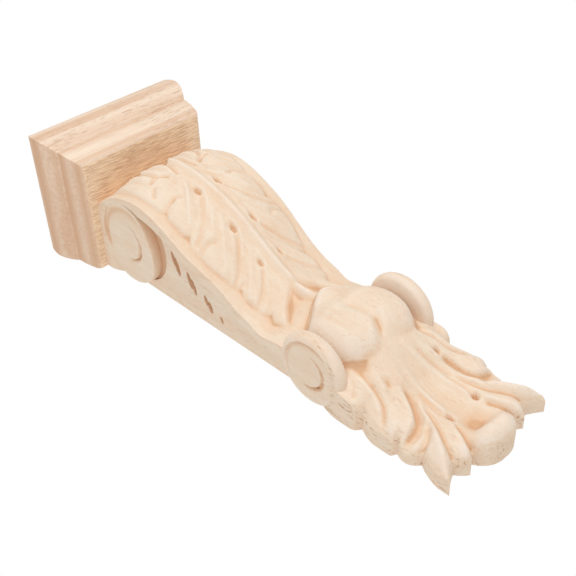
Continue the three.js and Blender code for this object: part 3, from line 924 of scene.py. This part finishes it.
def tube(points, rings, count, name):
    """A closed mesh through rings of points, its two ends closed by flat faces."""
    ring, i = np.meshgrid(np.arange(rings - 1), np.arange(count), indexing="ij")
    a = ring * count + i
    b = ring * count + (i + 1) % count
    quads = np.stack([a, a + count, b + count, b], axis=-1).reshape(-1, 4)
    faces = quads.tolist()
    faces.append(list(range(count)))
    faces.append(list(range((rings - 1) * count, rings * count))[::-1])
    mesh = bpy.data.meshes.new(name)
    mesh.from_pydata(points.tolist(), [], faces)
    mesh.validate()
    piece = bpy.data.objects.new(name, mesh)
    bpy.context.scene.collection.objects.link(piece)
    face_outwards(piece)
    return piece


def face_outwards(piece):
    make_active(piece)
    bpy.ops.object.mode_set(mode="EDIT")
    bpy.ops.mesh.select_all(action="SELECT")
    bpy.ops.mesh.normals_make_consistent(inside=False)
    bpy.ops.object.mode_set(mode="OBJECT")


def volute_relief(depth, drop, volute):
    """How far the face of a volute is cut, at a place measured from its middle."""
    eye = volute["eye"]
    far = np.hypot(depth, drop)
    core = np.hypot(depth - 0.5, drop + 1.5) - (eye - 0.4)
    crescent = rise(-0.3, 0.5, eye - far) * rise(-0.2, 0.9, core)
    turn = np.degrees(np.arctan2(drop, depth))
    winding = bump(eye * WINDING_PLACE, 1.6, far) * rise(-150, -90, turn) * rise(60, 10, turn)
    return CRESCENT_CUT * crescent + WINDING_CUT * winding + EYE_DISH * rise(eye, eye * 0.4, far)


def build_wheel(volute, side, sizes, name):
    """A volute's wheel on one side of the scroll, with a soft rim and a cut face."""
    half = sizes.body_width / MM / 2
    turn = np.linspace(0, 2 * np.pi, WHEEL_SEGMENTS, endpoint=False)
    full = volute_radius((np.degrees(turn) + 180) % 360 - 180) if volute is UPPER_VOLUTE else (
        np.full(WHEEL_SEGMENTS, float(volute["radius"])))
    rim = (volute["radius"] - volute["face"]) / volute["radius"]
    thick, soft = volute["thick"], volute["round"]
    # share of the wheel's radius, and how far in from the scroll's side
    profile = [(0.02, thick), (0.5, thick), (1 - rim * 0.5, thick), (1 - rim * 0.12, thick - soft * 0.4)]
    for k in range(RIM_STEPS + 1):
        bend = math.pi / 2 * k / RIM_STEPS
        profile.append((1 - rim * (1 - math.cos(bend)), soft * (1 - math.sin(bend))))
    flat = profile[-1][0]
    profile += [(flat * (1 - k / FACE_RINGS), 0) for k in range(1, FACE_RINGS)]
    rings = []
    for share, inset in profile:
        depth = full * share * np.cos(turn)
        drop = full * share * np.sin(turn)
        cut = volute_relief(depth, drop, volute) if inset == 0 else 0
        x = side * (half - inset - cut - volute["sunk"]) + 0 * depth
        rings.append(np.stack([x, -(depth + volute["depth"]), TOP - (drop + volute["drop"])], axis=-1))
    points = np.concatenate(rings) * MM
    return tube(points, len(rings), WHEEL_SEGMENTS, name)


def prism(outline, shallow, deep, name):
    """A straight block of an outline seen from the front, between two depths."""
    rings = []
    for depth in (shallow, deep):
        rings += [(x * MM, -depth * MM, (TOP - w) * MM) for x, w in outline]
    return tube(np.array(rings), 2, len(outline), name)


def combine(piece, other, operation):
    make_active(piece)
    modifier = piece.modifiers.new("cut", "BOOLEAN")
    modifier.operation = operation
    modifier.solver = "MANIFOLD"
    modifier.object = other
    bpy.ops.object.modifier_apply(modifier=modifier.name)
    bpy.data.objects.remove(other, do_unlink=True)


def gouge(side, sizes, at, drop, long, wide, deep):
    """An egg-shaped cutter sunk into one side panel."""
    face = sizes.body_width / 2 - sizes.panel_depth
    clear_selection()
    bpy.ops.mesh.primitive_uv_sphere_add(segments=24, ring_count=16, radius=1)
    cutter = bpy.context.object
    cutter.scale = (deep * MM, long / 2 * MM, wide / 2 * MM)
    cutter.rotation_euler = (-GOUGE_LEAN, 0, 0)
    cutter.location = (side * face, -at * MM, (TOP - drop) * MM)
    apply_place(cutter)
    return cutter


def round_cutter(side, sizes, at, drop, radius, deep):
    """A flat round cutter sunk into one side panel."""
    face = sizes.body_width / 2 - sizes.panel_depth
    reach = sizes.panel_depth + 0.004
    clear_selection()
    bpy.ops.mesh.primitive_cylinder_add(
        vertices=96, radius=radius * MM, depth=deep * MM + reach, rotation=(0, math.pi / 2, 0),
        location=(side * (face + (reach - deep * MM) / 2), -at * MM, (TOP - drop) * MM))
    cutter = bpy.context.object
    apply_place(cutter)
    return cutter


def build_scroll(sizes):
    """The scroll's body with its four wheels, cut to the leaf's outline and the cap."""
    scroll = scroll_body(sizes)
    for side in (-1, 1):
        combine(scroll, round_cutter(side, sizes, *SINKING), "DIFFERENCE")
        for values in GOUGES:
            combine(scroll, gouge(side, sizes, *values), "DIFFERENCE")
        combine(scroll, build_wheel(UPPER_VOLUTE, side, sizes, "wheel"), "UNION")
        combine(scroll, build_wheel(LOWER_VOLUTE, side, sizes, "wheel"), "UNION")
    half = sizes.body_width / MM / 2
    combine(scroll, prism(leaf_outline(half), 0, OUTLINE_FRONT, "outline"), "INTERSECT")
    cap = sizes.cap_height / MM
    wide = half + CUTTER_MARGIN
    below = [(-wide, cap), (wide, cap), (wide, CUTTER_FOOT), (-wide, CUTTER_FOOT)]
    combine(scroll, prism(below, 0, CUTTER_FRONT, "below_the_cap"), "INTERSECT")
    scroll.name = "carved_scroll_fine"
    scroll.data.name = "carved_scroll_fine"
    smooth_by_angle(scroll, 50)
    return scroll


# materials


def new_group(name, inputs, outputs):
    """A shader node group with its sockets, and its input and output nodes."""
    group = bpy.data.node_groups.new(name, "ShaderNodeTree")
    for kind, label, value in inputs:
        socket = group.interface.new_socket(name=label, in_out="INPUT", socket_type="NodeSocket" + kind)
        if value is not None:
            socket.default_value = value
    for kind, label in outputs:
        group.interface.new_socket(name=label, in_out="OUTPUT", socket_type="NodeSocket" + kind)
    return group, group.nodes.new("NodeGroupInput"), group.nodes.new("NodeGroupOutput")


def math_node(tree, operation, a, b=None, clamp=False):
    node = tree.nodes.new("ShaderNodeMath")
    node.operation = operation
    node.use_clamp = clamp
    for socket, value in zip(node.inputs, (a, b)):
        if value is None:
            continue
        if isinstance(value, bpy.types.NodeSocket):
            tree.links.new(value, socket)
        else:
            socket.default_value = value
    return node.outputs[0]


def stretched_noise(tree, vector, scale, detail, rough=0.5, distortion=0.0):
    """Noise with its own scale along each axis."""
    place = tree.nodes.new("ShaderNodeMapping")
    place.inputs["Scale"].default_value = scale
    tree.links.new(vector, place.inputs["Vector"])
    noise = tree.nodes.new("ShaderNodeTexNoise")
    noise.inputs["Scale"].default_value = 1.0
    noise.inputs["Detail"].default_value = detail
    noise.inputs["Roughness"].default_value = rough
    noise.inputs["Distortion"].default_value = distortion
    tree.links.new(place.outputs[0], noise.inputs["Vector"])
    return noise.outputs["Fac"]


def map_range(tree, value, low, high, to_low=0.0, to_high=1.0):
    node = tree.nodes.new("ShaderNodeMapRange")
    node.inputs["From Min"].default_value = low
    node.inputs["From Max"].default_value = high
    node.inputs["To Min"].default_value = to_low
    node.inputs["To Max"].default_value = to_high
    tree.links.new(value, node.inputs["Value"])
    return node.outputs[0]


def mix_colour(tree, share, a, b, blend="MIX"):
    node = tree.nodes.new("ShaderNodeMix")
    node.data_type = "RGBA"
    node.blend_type = blend
    for socket, value in ((node.inputs[0], share), (node.inputs[6], a), (node.inputs[7], b)):
        if isinstance(value, bpy.types.NodeSocket):
            tree.links.new(value, socket)
        else:
            socket.default_value = value
    return node.outputs[2]


def grain_group():
    """Wood whose grain runs along the vector's Z: bands, streaks and open pores."""
    group, given, result = new_group("wood_grain", (
        ("Vector", "Vector", None),
        ("Vector", "Band Vector", None),
        ("Color", "Pale", (0.8, 0.6, 0.4, 1)),
        ("Color", "Dark", (0.6, 0.4, 0.2, 1)),
        ("Color", "Pore", (0.3, 0.2, 0.1, 1)),
        ("Float", "Bands", 1.0),
        ("Float", "Pores", 1.0),
        ("Float", "End Grain", 0.0),
    ), (("Color", "Color"), ("Float", "Roughness"), ("Float", "Height")))
    vector = given.outputs["Vector"]
    broad = stretched_noise(group, given.outputs["Band Vector"], BROAD_BANDS, 3, 0.55, 0.3)
    streak = stretched_noise(group, vector, STREAKS, 4, 0.62, 0.2)
    fibre = stretched_noise(group, vector, FIBRES, 2, 0.6)
    dashes = stretched_noise(group, vector, PORE_DASHES, 2, 0.55)
    crowd = stretched_noise(group, vector, DASH_CROWDS, 2, 0.5)
    bands = math_node(group, "ADD", map_range(group, broad, 0.36, 0.66, 0.0, 0.7),
                      map_range(group, streak, 0.3, 0.7, -0.3, 0.4), clamp=True)
    bands = math_node(group, "MULTIPLY", bands, given.outputs["Bands"], clamp=True)
    colour = mix_colour(group, bands, given.outputs["Pale"], given.outputs["Dark"])
    pores = math_node(group, "MULTIPLY", map_range(group, dashes, 0.58, 0.68),
                      map_range(group, crowd, 0.36, 0.6), clamp=True)
    pores = math_node(group, "MULTIPLY", pores, given.outputs["Pores"], clamp=True)
    colour = mix_colour(group, math_node(group, "MULTIPLY", pores, 0.6), colour, given.outputs["Pore"])
    ends = math_node(group, "MULTIPLY", given.outputs["End Grain"], 0.45)
    colour = mix_colour(group, ends, colour, given.outputs["Dark"])
    height = math_node(group, "SUBTRACT", math_node(group, "MULTIPLY", fibre, 0.3), pores)
    rough = map_range(group, streak, 0.2, 0.8, 0.62, 0.78)
    group.links.new(colour, result.inputs["Color"])
    group.links.new(rough, result.inputs["Roughness"])
    group.links.new(height, result.inputs["Height"])
    return group


def attribute(tree, name):
    node = tree.nodes.new("ShaderNodeAttribute")
    node.attribute_name = name
    return node.outputs["Fac"]


def wood_base(name, finish, turn, bands, band_stretch):
    """A wood material with its grain, turned so that the grain runs the right way."""
    material = bpy.data.materials.new(name)
    material.use_nodes = True
    tree = material.node_tree
    shader = tree.nodes["Principled BSDF"]
    shader.inputs["Specular IOR Level"].default_value = 0.25
    place = tree.nodes.new("ShaderNodeTexCoord").outputs["Object"]
    mapping = tree.nodes.new("ShaderNodeMapping")
    mapping.inputs["Rotation"].default_value = turn
    tree.links.new(place, mapping.inputs["Vector"])
    stretched = tree.nodes.new("ShaderNodeMapping")
    stretched.inputs["Scale"].default_value = band_stretch
    tree.links.new(mapping.outputs[0], stretched.inputs["Vector"])
    wood = tree.nodes.new("ShaderNodeGroup")
    wood.node_tree = bpy.data.node_groups.get("wood_grain") or grain_group()
    tree.links.new(mapping.outputs[0], wood.inputs["Vector"])
    tree.links.new(stretched.outputs[0], wood.inputs["Band Vector"])
    for socket, colour in zip(("Pale", "Dark", "Pore"), finish):
        wood.inputs[socket].default_value = (*colour, 1)
    wood.inputs["Bands"].default_value = bands
    tree.links.new(attribute(tree, "end_grain"), wood.inputs["End Grain"])
    tree.links.new(wood.outputs["Roughness"], shader.inputs["Roughness"])
    return material, tree, shader, place, wood


def finish_wood(tree, shader, colour, height, depth):
    tree.links.new(colour, shader.inputs["Base Color"])
    relief = tree.nodes.new("ShaderNodeBump")
    relief.inputs["Strength"].default_value = 0.6
    relief.inputs["Distance"].default_value = depth
    tree.links.new(height, relief.inputs["Height"])
    tree.links.new(relief.outputs[0], shader.inputs["Normal"])


def cap_material(finish):
    """Wood of the cap: its grain runs sideways and its sawn underside is coarser, in a colour that is
    partly its own and partly painted light.
    """
    colours = (finish.cap_pale, finish.cap_dark, finish.pore)
    material, tree, shader, place, wood = wood_base(
        "cap_wood_grain", colours, (0, math.pi / 2, 0), 1.0, (1.5, 0.22, 1))
    split = tree.nodes.new("ShaderNodeSeparateXYZ")
    tree.links.new(place, split.inputs[0])
    low = CAP_LOW[2]
    sawn = map_range(tree, split.outputs[2], low + 0.0005, low + 0.0002)
    rings = tree.nodes.new("ShaderNodeTexWave")
    rings.bands_direction = "Z"
    rings.inputs["Scale"].default_value = RING_SCALE
    rings.inputs["Distortion"].default_value = 1.6
    rings.inputs["Detail"].default_value = 2
    rings.inputs["Detail Scale"].default_value = 0.8
    rings.inputs["Phase Offset"].default_value = 2.4
    tree.links.new(place, rings.inputs["Vector"])
    share = math_node(tree, "ADD", math_node(tree, "MULTIPLY", attribute(tree, "end_grain"), 0.9), 0.16)
    banded = math_node(tree, "MULTIPLY", rings.outputs["Fac"], share)
    colour = mix_colour(tree, banded, wood.outputs["Color"], (*finish.cap_dark, 1))
    # the sawn underside's colour: partly the wood's own, partly painted light brightening a face the lamps
    # barely reach
    underside_and_light_share = math_node(tree, "MULTIPLY", sawn, 0.8)
    colour = mix_colour(tree, underside_and_light_share, colour, (*finish.cap_sawn_and_painted_light, 1))
    torn = map_range(tree, stretched_noise(tree, place, TORN_FIBRES, 2, 0.6), 0.48, 0.6)
    torn = math_node(tree, "MULTIPLY", torn, sawn)
    dark = math_node(tree, "MULTIPLY", torn, 0.5)
    colour = mix_colour(tree, dark, colour, (*finish.pore, 1))
    wood.inputs["Pores"].default_value = 1.0
    height = math_node(tree, "SUBTRACT", wood.outputs["Height"], math_node(tree, "MULTIPLY", torn, 0.7))
    finish_wood(tree, shader, colour, height, 0.0002)
    return material


def scroll_material(finish):
    """Wood of the scroll, with painted shade in the hollows and painted highlight on the ridges."""
    colours = (finish.scroll_pale, finish.scroll_dark, finish.pore)
    material, tree, shader, place, wood = wood_base(
        "scroll_wood_grain", colours, (0, 0, 0), 0.9, (1, 1, 1))
    tree.links.new(attribute(tree, "open_pores"), wood.inputs["Pores"])
    # the stored painted shade (above 0.5) and painted highlight (below 0.5)
    worn = attribute(tree, "painted_shade_and_highlight")
    # painted shade in the hollows
    deep = map_range(tree, worn, 0.56, 1.0, 0.0, 0.55)
    colour = mix_colour(tree, deep, wood.outputs["Color"], (*finish.hollow, 1))
    # painted highlight on the ridges
    high = map_range(tree, worn, 0.47, 0.0, 0.0, 0.7)
    colour = mix_colour(tree, high, colour, (*finish.ridge_highlight, 1))
    # darker painted shade in the deepest hollows, gouges and pits
    pit_shade = map_range(tree, worn, 0.86, 1.0, 0.0, 0.5)
    colour = mix_colour(tree, pit_shade, colour, (*finish.mark, 1))
    patches = map_range(tree, stretched_noise(tree, place, WARM_PATCHES, 3, 0.6), 0.5, 0.72, 0.0, 0.2)
    colour = mix_colour(tree, patches, colour, (*finish.hollow, 1))
    flecks = map_range(tree, stretched_noise(tree, place, FLECKS, 2, 0.6), 0.5, 0.75, 0.0, 0.22)
    colour = mix_colour(tree, flecks, colour, (*finish.hollow, 1))
    open_pores = map_range(tree, stretched_noise(tree, place, OPEN_PORES, 2, 0.55), 0.58, 0.64)
    crowd = map_range(tree, stretched_noise(tree, place, PORE_CROWDS, 2, 0.5), 0.4, 0.6)
    open_pores = math_node(tree, "MULTIPLY", math_node(tree, "MULTIPLY", open_pores, crowd, clamp=True),
                           attribute(tree, "open_pores"))
    colour = mix_colour(tree, math_node(tree, "MULTIPLY", open_pores, 0.75), colour, (*finish.pore, 1))
    split = tree.nodes.new("ShaderNodeSeparateXYZ")
    tree.links.new(place, split.inputs[0])
    across = math_node(tree, "ABSOLUTE", split.outputs[0])
    phase = math_node(tree, "MULTIPLY", math_node(tree, "SUBTRACT", across, split.outputs[2]), TOOL_MARKS)
    wave = map_range(tree, math_node(tree, "SINE", phase), -1, 1)
    marks = math_node(tree, "MULTIPLY", wave, attribute(tree, "steep"))
    shade = math_node(tree, "MULTIPLY", marks, 0.42)
    colour = mix_colour(tree, shade, colour, (*finish.mark, 1))
    sunk = math_node(tree, "ADD", math_node(tree, "MULTIPLY", marks, 0.8), open_pores)
    height = math_node(tree, "SUBTRACT", wood.outputs["Height"], sunk)
    finish_wood(tree, shader, colour, height, 0.00016)
    return material


def store(mesh, name, domain, values):
    layer = mesh.attributes.new(name, "FLOAT", domain)
    layer.data.foreach_set("value", np.clip(values, 0, 1).astype(np.float32))


def mark_end_grain(piece, axis):
    """Stores on each face how squarely it cuts across the grain."""
    mesh = piece.data
    normals = np.empty(len(mesh.polygons) * 3)
    mesh.polygons.foreach_get("normal", normals)
    store(mesh, "end_grain", "FACE", np.abs(normals.reshape(-1, 3)[:, axis]) ** 3)


def mark_carving(piece, sizes):
    """Stores on each point its painted shade and highlight (0.5 is neither, higher is shade, lower is
    highlight), and how steep and porous the wood is there.
    """
    mesh = piece.data
    places = np.empty(len(mesh.vertices) * 3)
    mesh.vertices.foreach_get("co", places)
    places = places.reshape(-1, 3) / MM
    x, depth, w = places[:, 0], -places[:, 1], TOP - places[:, 2]
    a = np.abs(x)
    half = sizes.body_width / MM / 2
    xs = np.arange(-half, half + GRID_STEP, GRID_STEP)
    ws = np.arange(*GRID_DROPS, GRID_STEP)
    field = front_depth(*np.meshgrid(xs, ws), sizes)
    broad = field - blurred(field, BROAD_REACH)
    level = broad / BROAD_RELIEF + (field - blurred(field, FINE_REACH)) / FINE_RELIEF
    slope = np.hypot(*np.gradient(field, GRID_STEP))
    steep = rise(*STEEP_SLOPES, blurred(slope, 1)) * rise(0.4, -0.4, broad)

    def here(grid):
        return between(grid, x - xs[0], w - ws[0], GRID_STEP)

    far, inside = outline_distance(x, w)
    near_front = np.abs(depth - here(field)) < 0.7 + 0.5 * here(slope)
    on_front = near_front & inside & ((far > 0.9) | (w < LOWER_STARTS[1]))
    # painted shade in the hollows and painted highlight on the ridges of the front, from how far each
    # point lies below or above its surroundings
    hollow = np.where(on_front, 0.5 - here(level), 0.5)
    lip = on_front * bump(leaf_end(a) - 0.4, 1.8, w) * rise(5, 9, a) * rise(19, 16, a)
    bowl = on_front * np.exp(-((a / 8) ** 2) - ((w - BOWL_DROP + 1) / 4) ** 2)
    # painted shade on the leaf end's lip and in the bowl
    hollow = hollow + LIP_SHADE * lip + BOWL_SHADE * bowl

    # the gouge cuts in the side panels, painted dark with shade
    panel = half - sizes.panel_depth / MM
    border = field[np.clip(((w - ws[0]) / GRID_STEP).round().astype(int), 0, len(ws) - 1), 0]
    sunk = (a < panel - 0.4) & (w > 45) & (w < 125) & (depth < border - 5) & (depth > 1)
    hollow = np.where(sunk, 0.95, hollow)

    # the wheels of the volutes: painted shade in the cuts of their faces; only the lower ones get a
    # painted highlight on the rim and on the inner side
    wheels = np.zeros(len(x), bool)
    for volute in (UPPER_VOLUTE, LOWER_VOLUTE):
        u, v = depth - volute["depth"], w - volute["drop"]
        face = (np.hypot(u, v) < volute["face"]) & (a > half - 3.4) & ~on_front
        hollow = np.where(face, 0.5 + 0.3 * volute_relief(u, v, volute), hollow)
        wheels |= (np.hypot(u, v) < volute["radius"] + 0.3) & (a > half - volute["thick"] - 0.5)
    body_side = half - side_inset(depth, w, border, sizes)
    wheels &= (np.abs(a - body_side) > 0.3) & (depth > 1)
    lower = wheels & (w > COLLAR_DROP)
    from_middle = np.hypot(depth - LOWER_VOLUTE["depth"], w - LOWER_VOLUTE["drop"])
    hollow = np.where(lower & (from_middle > LOWER_VOLUTE["face"]), 0.2, hollow)
    # painted highlight over the lower wheels' whole inner sides
    hollow = np.where(lower & (a < half - 4), 0, hollow)

    low_side = rise(150, 185, w)
    pores = np.where(on_front, 0.1 + 0.12 * low_side, 0.3 + 0.6 * low_side)
    store(mesh, "painted_shade_and_highlight", "POINT", hollow)
    store(mesh, "steep", "POINT", np.where(on_front & ~wheels, np.maximum(lip, here(steep)), 0.8 * sunk))
    store(mesh, "open_pores", "POINT", np.where(wheels, 0.08, pores))


def wear(piece, material):
    piece.data.materials.clear()
    piece.data.materials.append(material)


# stage


def view_matrix(stage):
    """Where the camera stands and how it is turned."""
    turn = (Matrix.Rotation(-stage.view_azimuth, 4, "Z")
            @ Matrix.Rotation(math.pi / 2 + stage.view_elevation, 4, "X")
            @ Matrix.Rotation(stage.view_roll, 4, "Z"))
    return Matrix.Translation(stage.camera_place) @ turn


def add_camera(stage):
    data = bpy.data.cameras.new("camera")
    data.lens = stage.lens
    data.sensor_width = 36
    data.clip_start = 0.01
    camera = bpy.data.objects.new("camera", data)
    camera.matrix_world = view_matrix(stage)
    bpy.context.scene.collection.objects.link(camera)
    bpy.context.scene.camera = camera
    return camera


def add_soft_light(name, direction, power, tint):
    data = bpy.data.lights.new(name, "AREA")
    data.shape = "DISK"
    data.size = LIGHT_SIZE
    data.energy = power
    data.color = tint
    light = bpy.data.objects.new(name, data)
    way = Vector(direction).normalized()
    light.location = Vector(LIT_POINT) + way * LIGHT_DISTANCE
    light.rotation_euler = way.to_track_quat("Z", "Y").to_euler()
    bpy.context.scene.collection.objects.link(light)


def add_backdrop():
    """A plain pale wall behind the corbel, seen only from the front."""
    clear_selection()
    bpy.ops.mesh.primitive_plane_add(size=WALL_SIZE, location=WALL_PLACE, rotation=(math.pi / 2, 0, 0))
    wall = bpy.context.object
    wall.name = "pale_wall"
    material = bpy.data.materials.new("pale_wall")
    material.use_nodes = True
    tree = material.node_tree
    tree.nodes.clear()
    output = tree.nodes.new("ShaderNodeOutputMaterial")
    glow = tree.nodes.new("ShaderNodeEmission")
    glow.inputs["Color"].default_value = (1, 1, 1, 1)
    glow.inputs["Strength"].default_value = 1.0
    clear = tree.nodes.new("ShaderNodeBsdfTransparent")
    side = tree.nodes.new("ShaderNodeNewGeometry")
    mix = tree.nodes.new("ShaderNodeMixShader")
    tree.links.new(side.outputs["Backfacing"], mix.inputs[0])
    tree.links.new(glow.outputs[0], mix.inputs[1])
    tree.links.new(clear.outputs[0], mix.inputs[2])
    tree.links.new(mix.outputs[0], output.inputs["Surface"])
    wear(wall, material)
    return wall


def set_room(strength):
    """White all round: full white to the eye, softer as light."""
    world = bpy.data.worlds.new("room")
    world.use_nodes = True
    tree = world.node_tree
    tree.nodes.clear()
    output = tree.nodes.new("ShaderNodeOutputWorld")
    seen = tree.nodes.new("ShaderNodeBackground")
    seen.inputs["Color"].default_value = (1, 1, 1, 1)
    lit = tree.nodes.new("ShaderNodeBackground")
    lit.inputs["Color"].default_value = (1, 0.985, 0.96, 1)
    lit.inputs["Strength"].default_value = strength
    path = tree.nodes.new("ShaderNodeLightPath")
    mix = tree.nodes.new("ShaderNodeMixShader")
    tree.links.new(path.outputs["Is Camera Ray"], mix.inputs[0])
    tree.links.new(lit.outputs[0], mix.inputs[1])
    tree.links.new(seen.outputs[0], mix.inputs[2])
    tree.links.new(mix.outputs[0], output.inputs["Surface"])
    bpy.context.scene.world = world


class CORBEL_OT_cap(bpy.types.Operator):
    """Builds the moulded cap in place of its plain solid"""
    bl_idname = "corbel.cap"
    bl_label = "Moulded cap"

    def execute(self, context):
        scene = context.scene
        cap = build_cap(scene.corbel_sizes)
        mark_end_grain(cap, 0)
        wear(cap, cap_material(scene.corbel_finish))
        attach(cap, "root")
        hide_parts("cap_block")
        return {"FINISHED"}


class CORBEL_OT_scroll(bpy.types.Operator):
    """Carves the scroll with its leaves, bulb and volutes in place of its plain solid"""
    bl_idname = "corbel.scroll"
    bl_label = "Carved scroll"

    def execute(self, context):
        scene = context.scene
        scroll = build_scroll(scene.corbel_sizes)
        mark_carving(scroll, scene.corbel_sizes)
        mark_end_grain(scroll, 2)
        wear(scroll, scroll_material(scene.corbel_finish))
        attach(scroll, "root")
        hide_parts("carved_scroll")
        return {"FINISHED"}


class CORBEL_OT_stage(bpy.types.Operator):
    """Sets up the camera, the pale wall and the soft lights"""
    bl_idname = "corbel.stage"
    bl_label = "Stage"

    def execute(self, context):
        stage = context.scene.corbel_stage
        context.scene.view_settings.view_transform = "Standard"
        add_camera(stage)
        add_backdrop()
        set_room(stage.room_light)
        add_soft_light("key_light", KEY_FROM, stage.key_power, (1, 0.99, 0.98))
        add_soft_light("fill_light", FILL_FROM, stage.fill_power, (1, 0.98, 0.95))
        return {"FINISHED"}


class CORBEL_PT_panel(bpy.types.Panel):
    """Lists the corbel's parts"""
    bl_label = "Carved corbel"
    bl_space_type = "VIEW_3D"
    bl_region_type = "UI"
    bl_category = "Corbel"

    def draw(self, context):
        layout = self.layout
        scene = context.scene
        for operator in OPERATORS:
            layout.operator(operator.bl_idname)
        for group in (scene.corbel_sizes, scene.corbel_finish, scene.corbel_stage):
            column = layout.column()
            for name in group.bl_rna.properties.keys():
                if name not in ("rna_type", "name"):
                    column.prop(group, name)


OPERATORS = (CORBEL_OT_cap, CORBEL_OT_scroll, CORBEL_OT_stage)
CLASSES = (CorbelSizes, CorbelFinish, CorbelStage, *OPERATORS, CORBEL_PT_panel)


def register():
    for cls in CLASSES:
        bpy.utils.register_class(cls)
    bpy.types.Scene.corbel_sizes = PointerProperty(type=CorbelSizes)
    bpy.types.Scene.corbel_finish = PointerProperty(type=CorbelFinish)
    bpy.types.Scene.corbel_stage = PointerProperty(type=CorbelStage)


def unregister():
    del bpy.types.Scene.corbel_stage
    del bpy.types.Scene.corbel_finish
    del bpy.types.Scene.corbel_sizes
    for cls in reversed(CLASSES):
        bpy.utils.unregister_class(cls)


def main():
    register()
    bpy.ops.corbel.stage()
    bpy.ops.corbel.cap()
    bpy.ops.corbel.scroll()


if __name__ == "__main__":
    main()
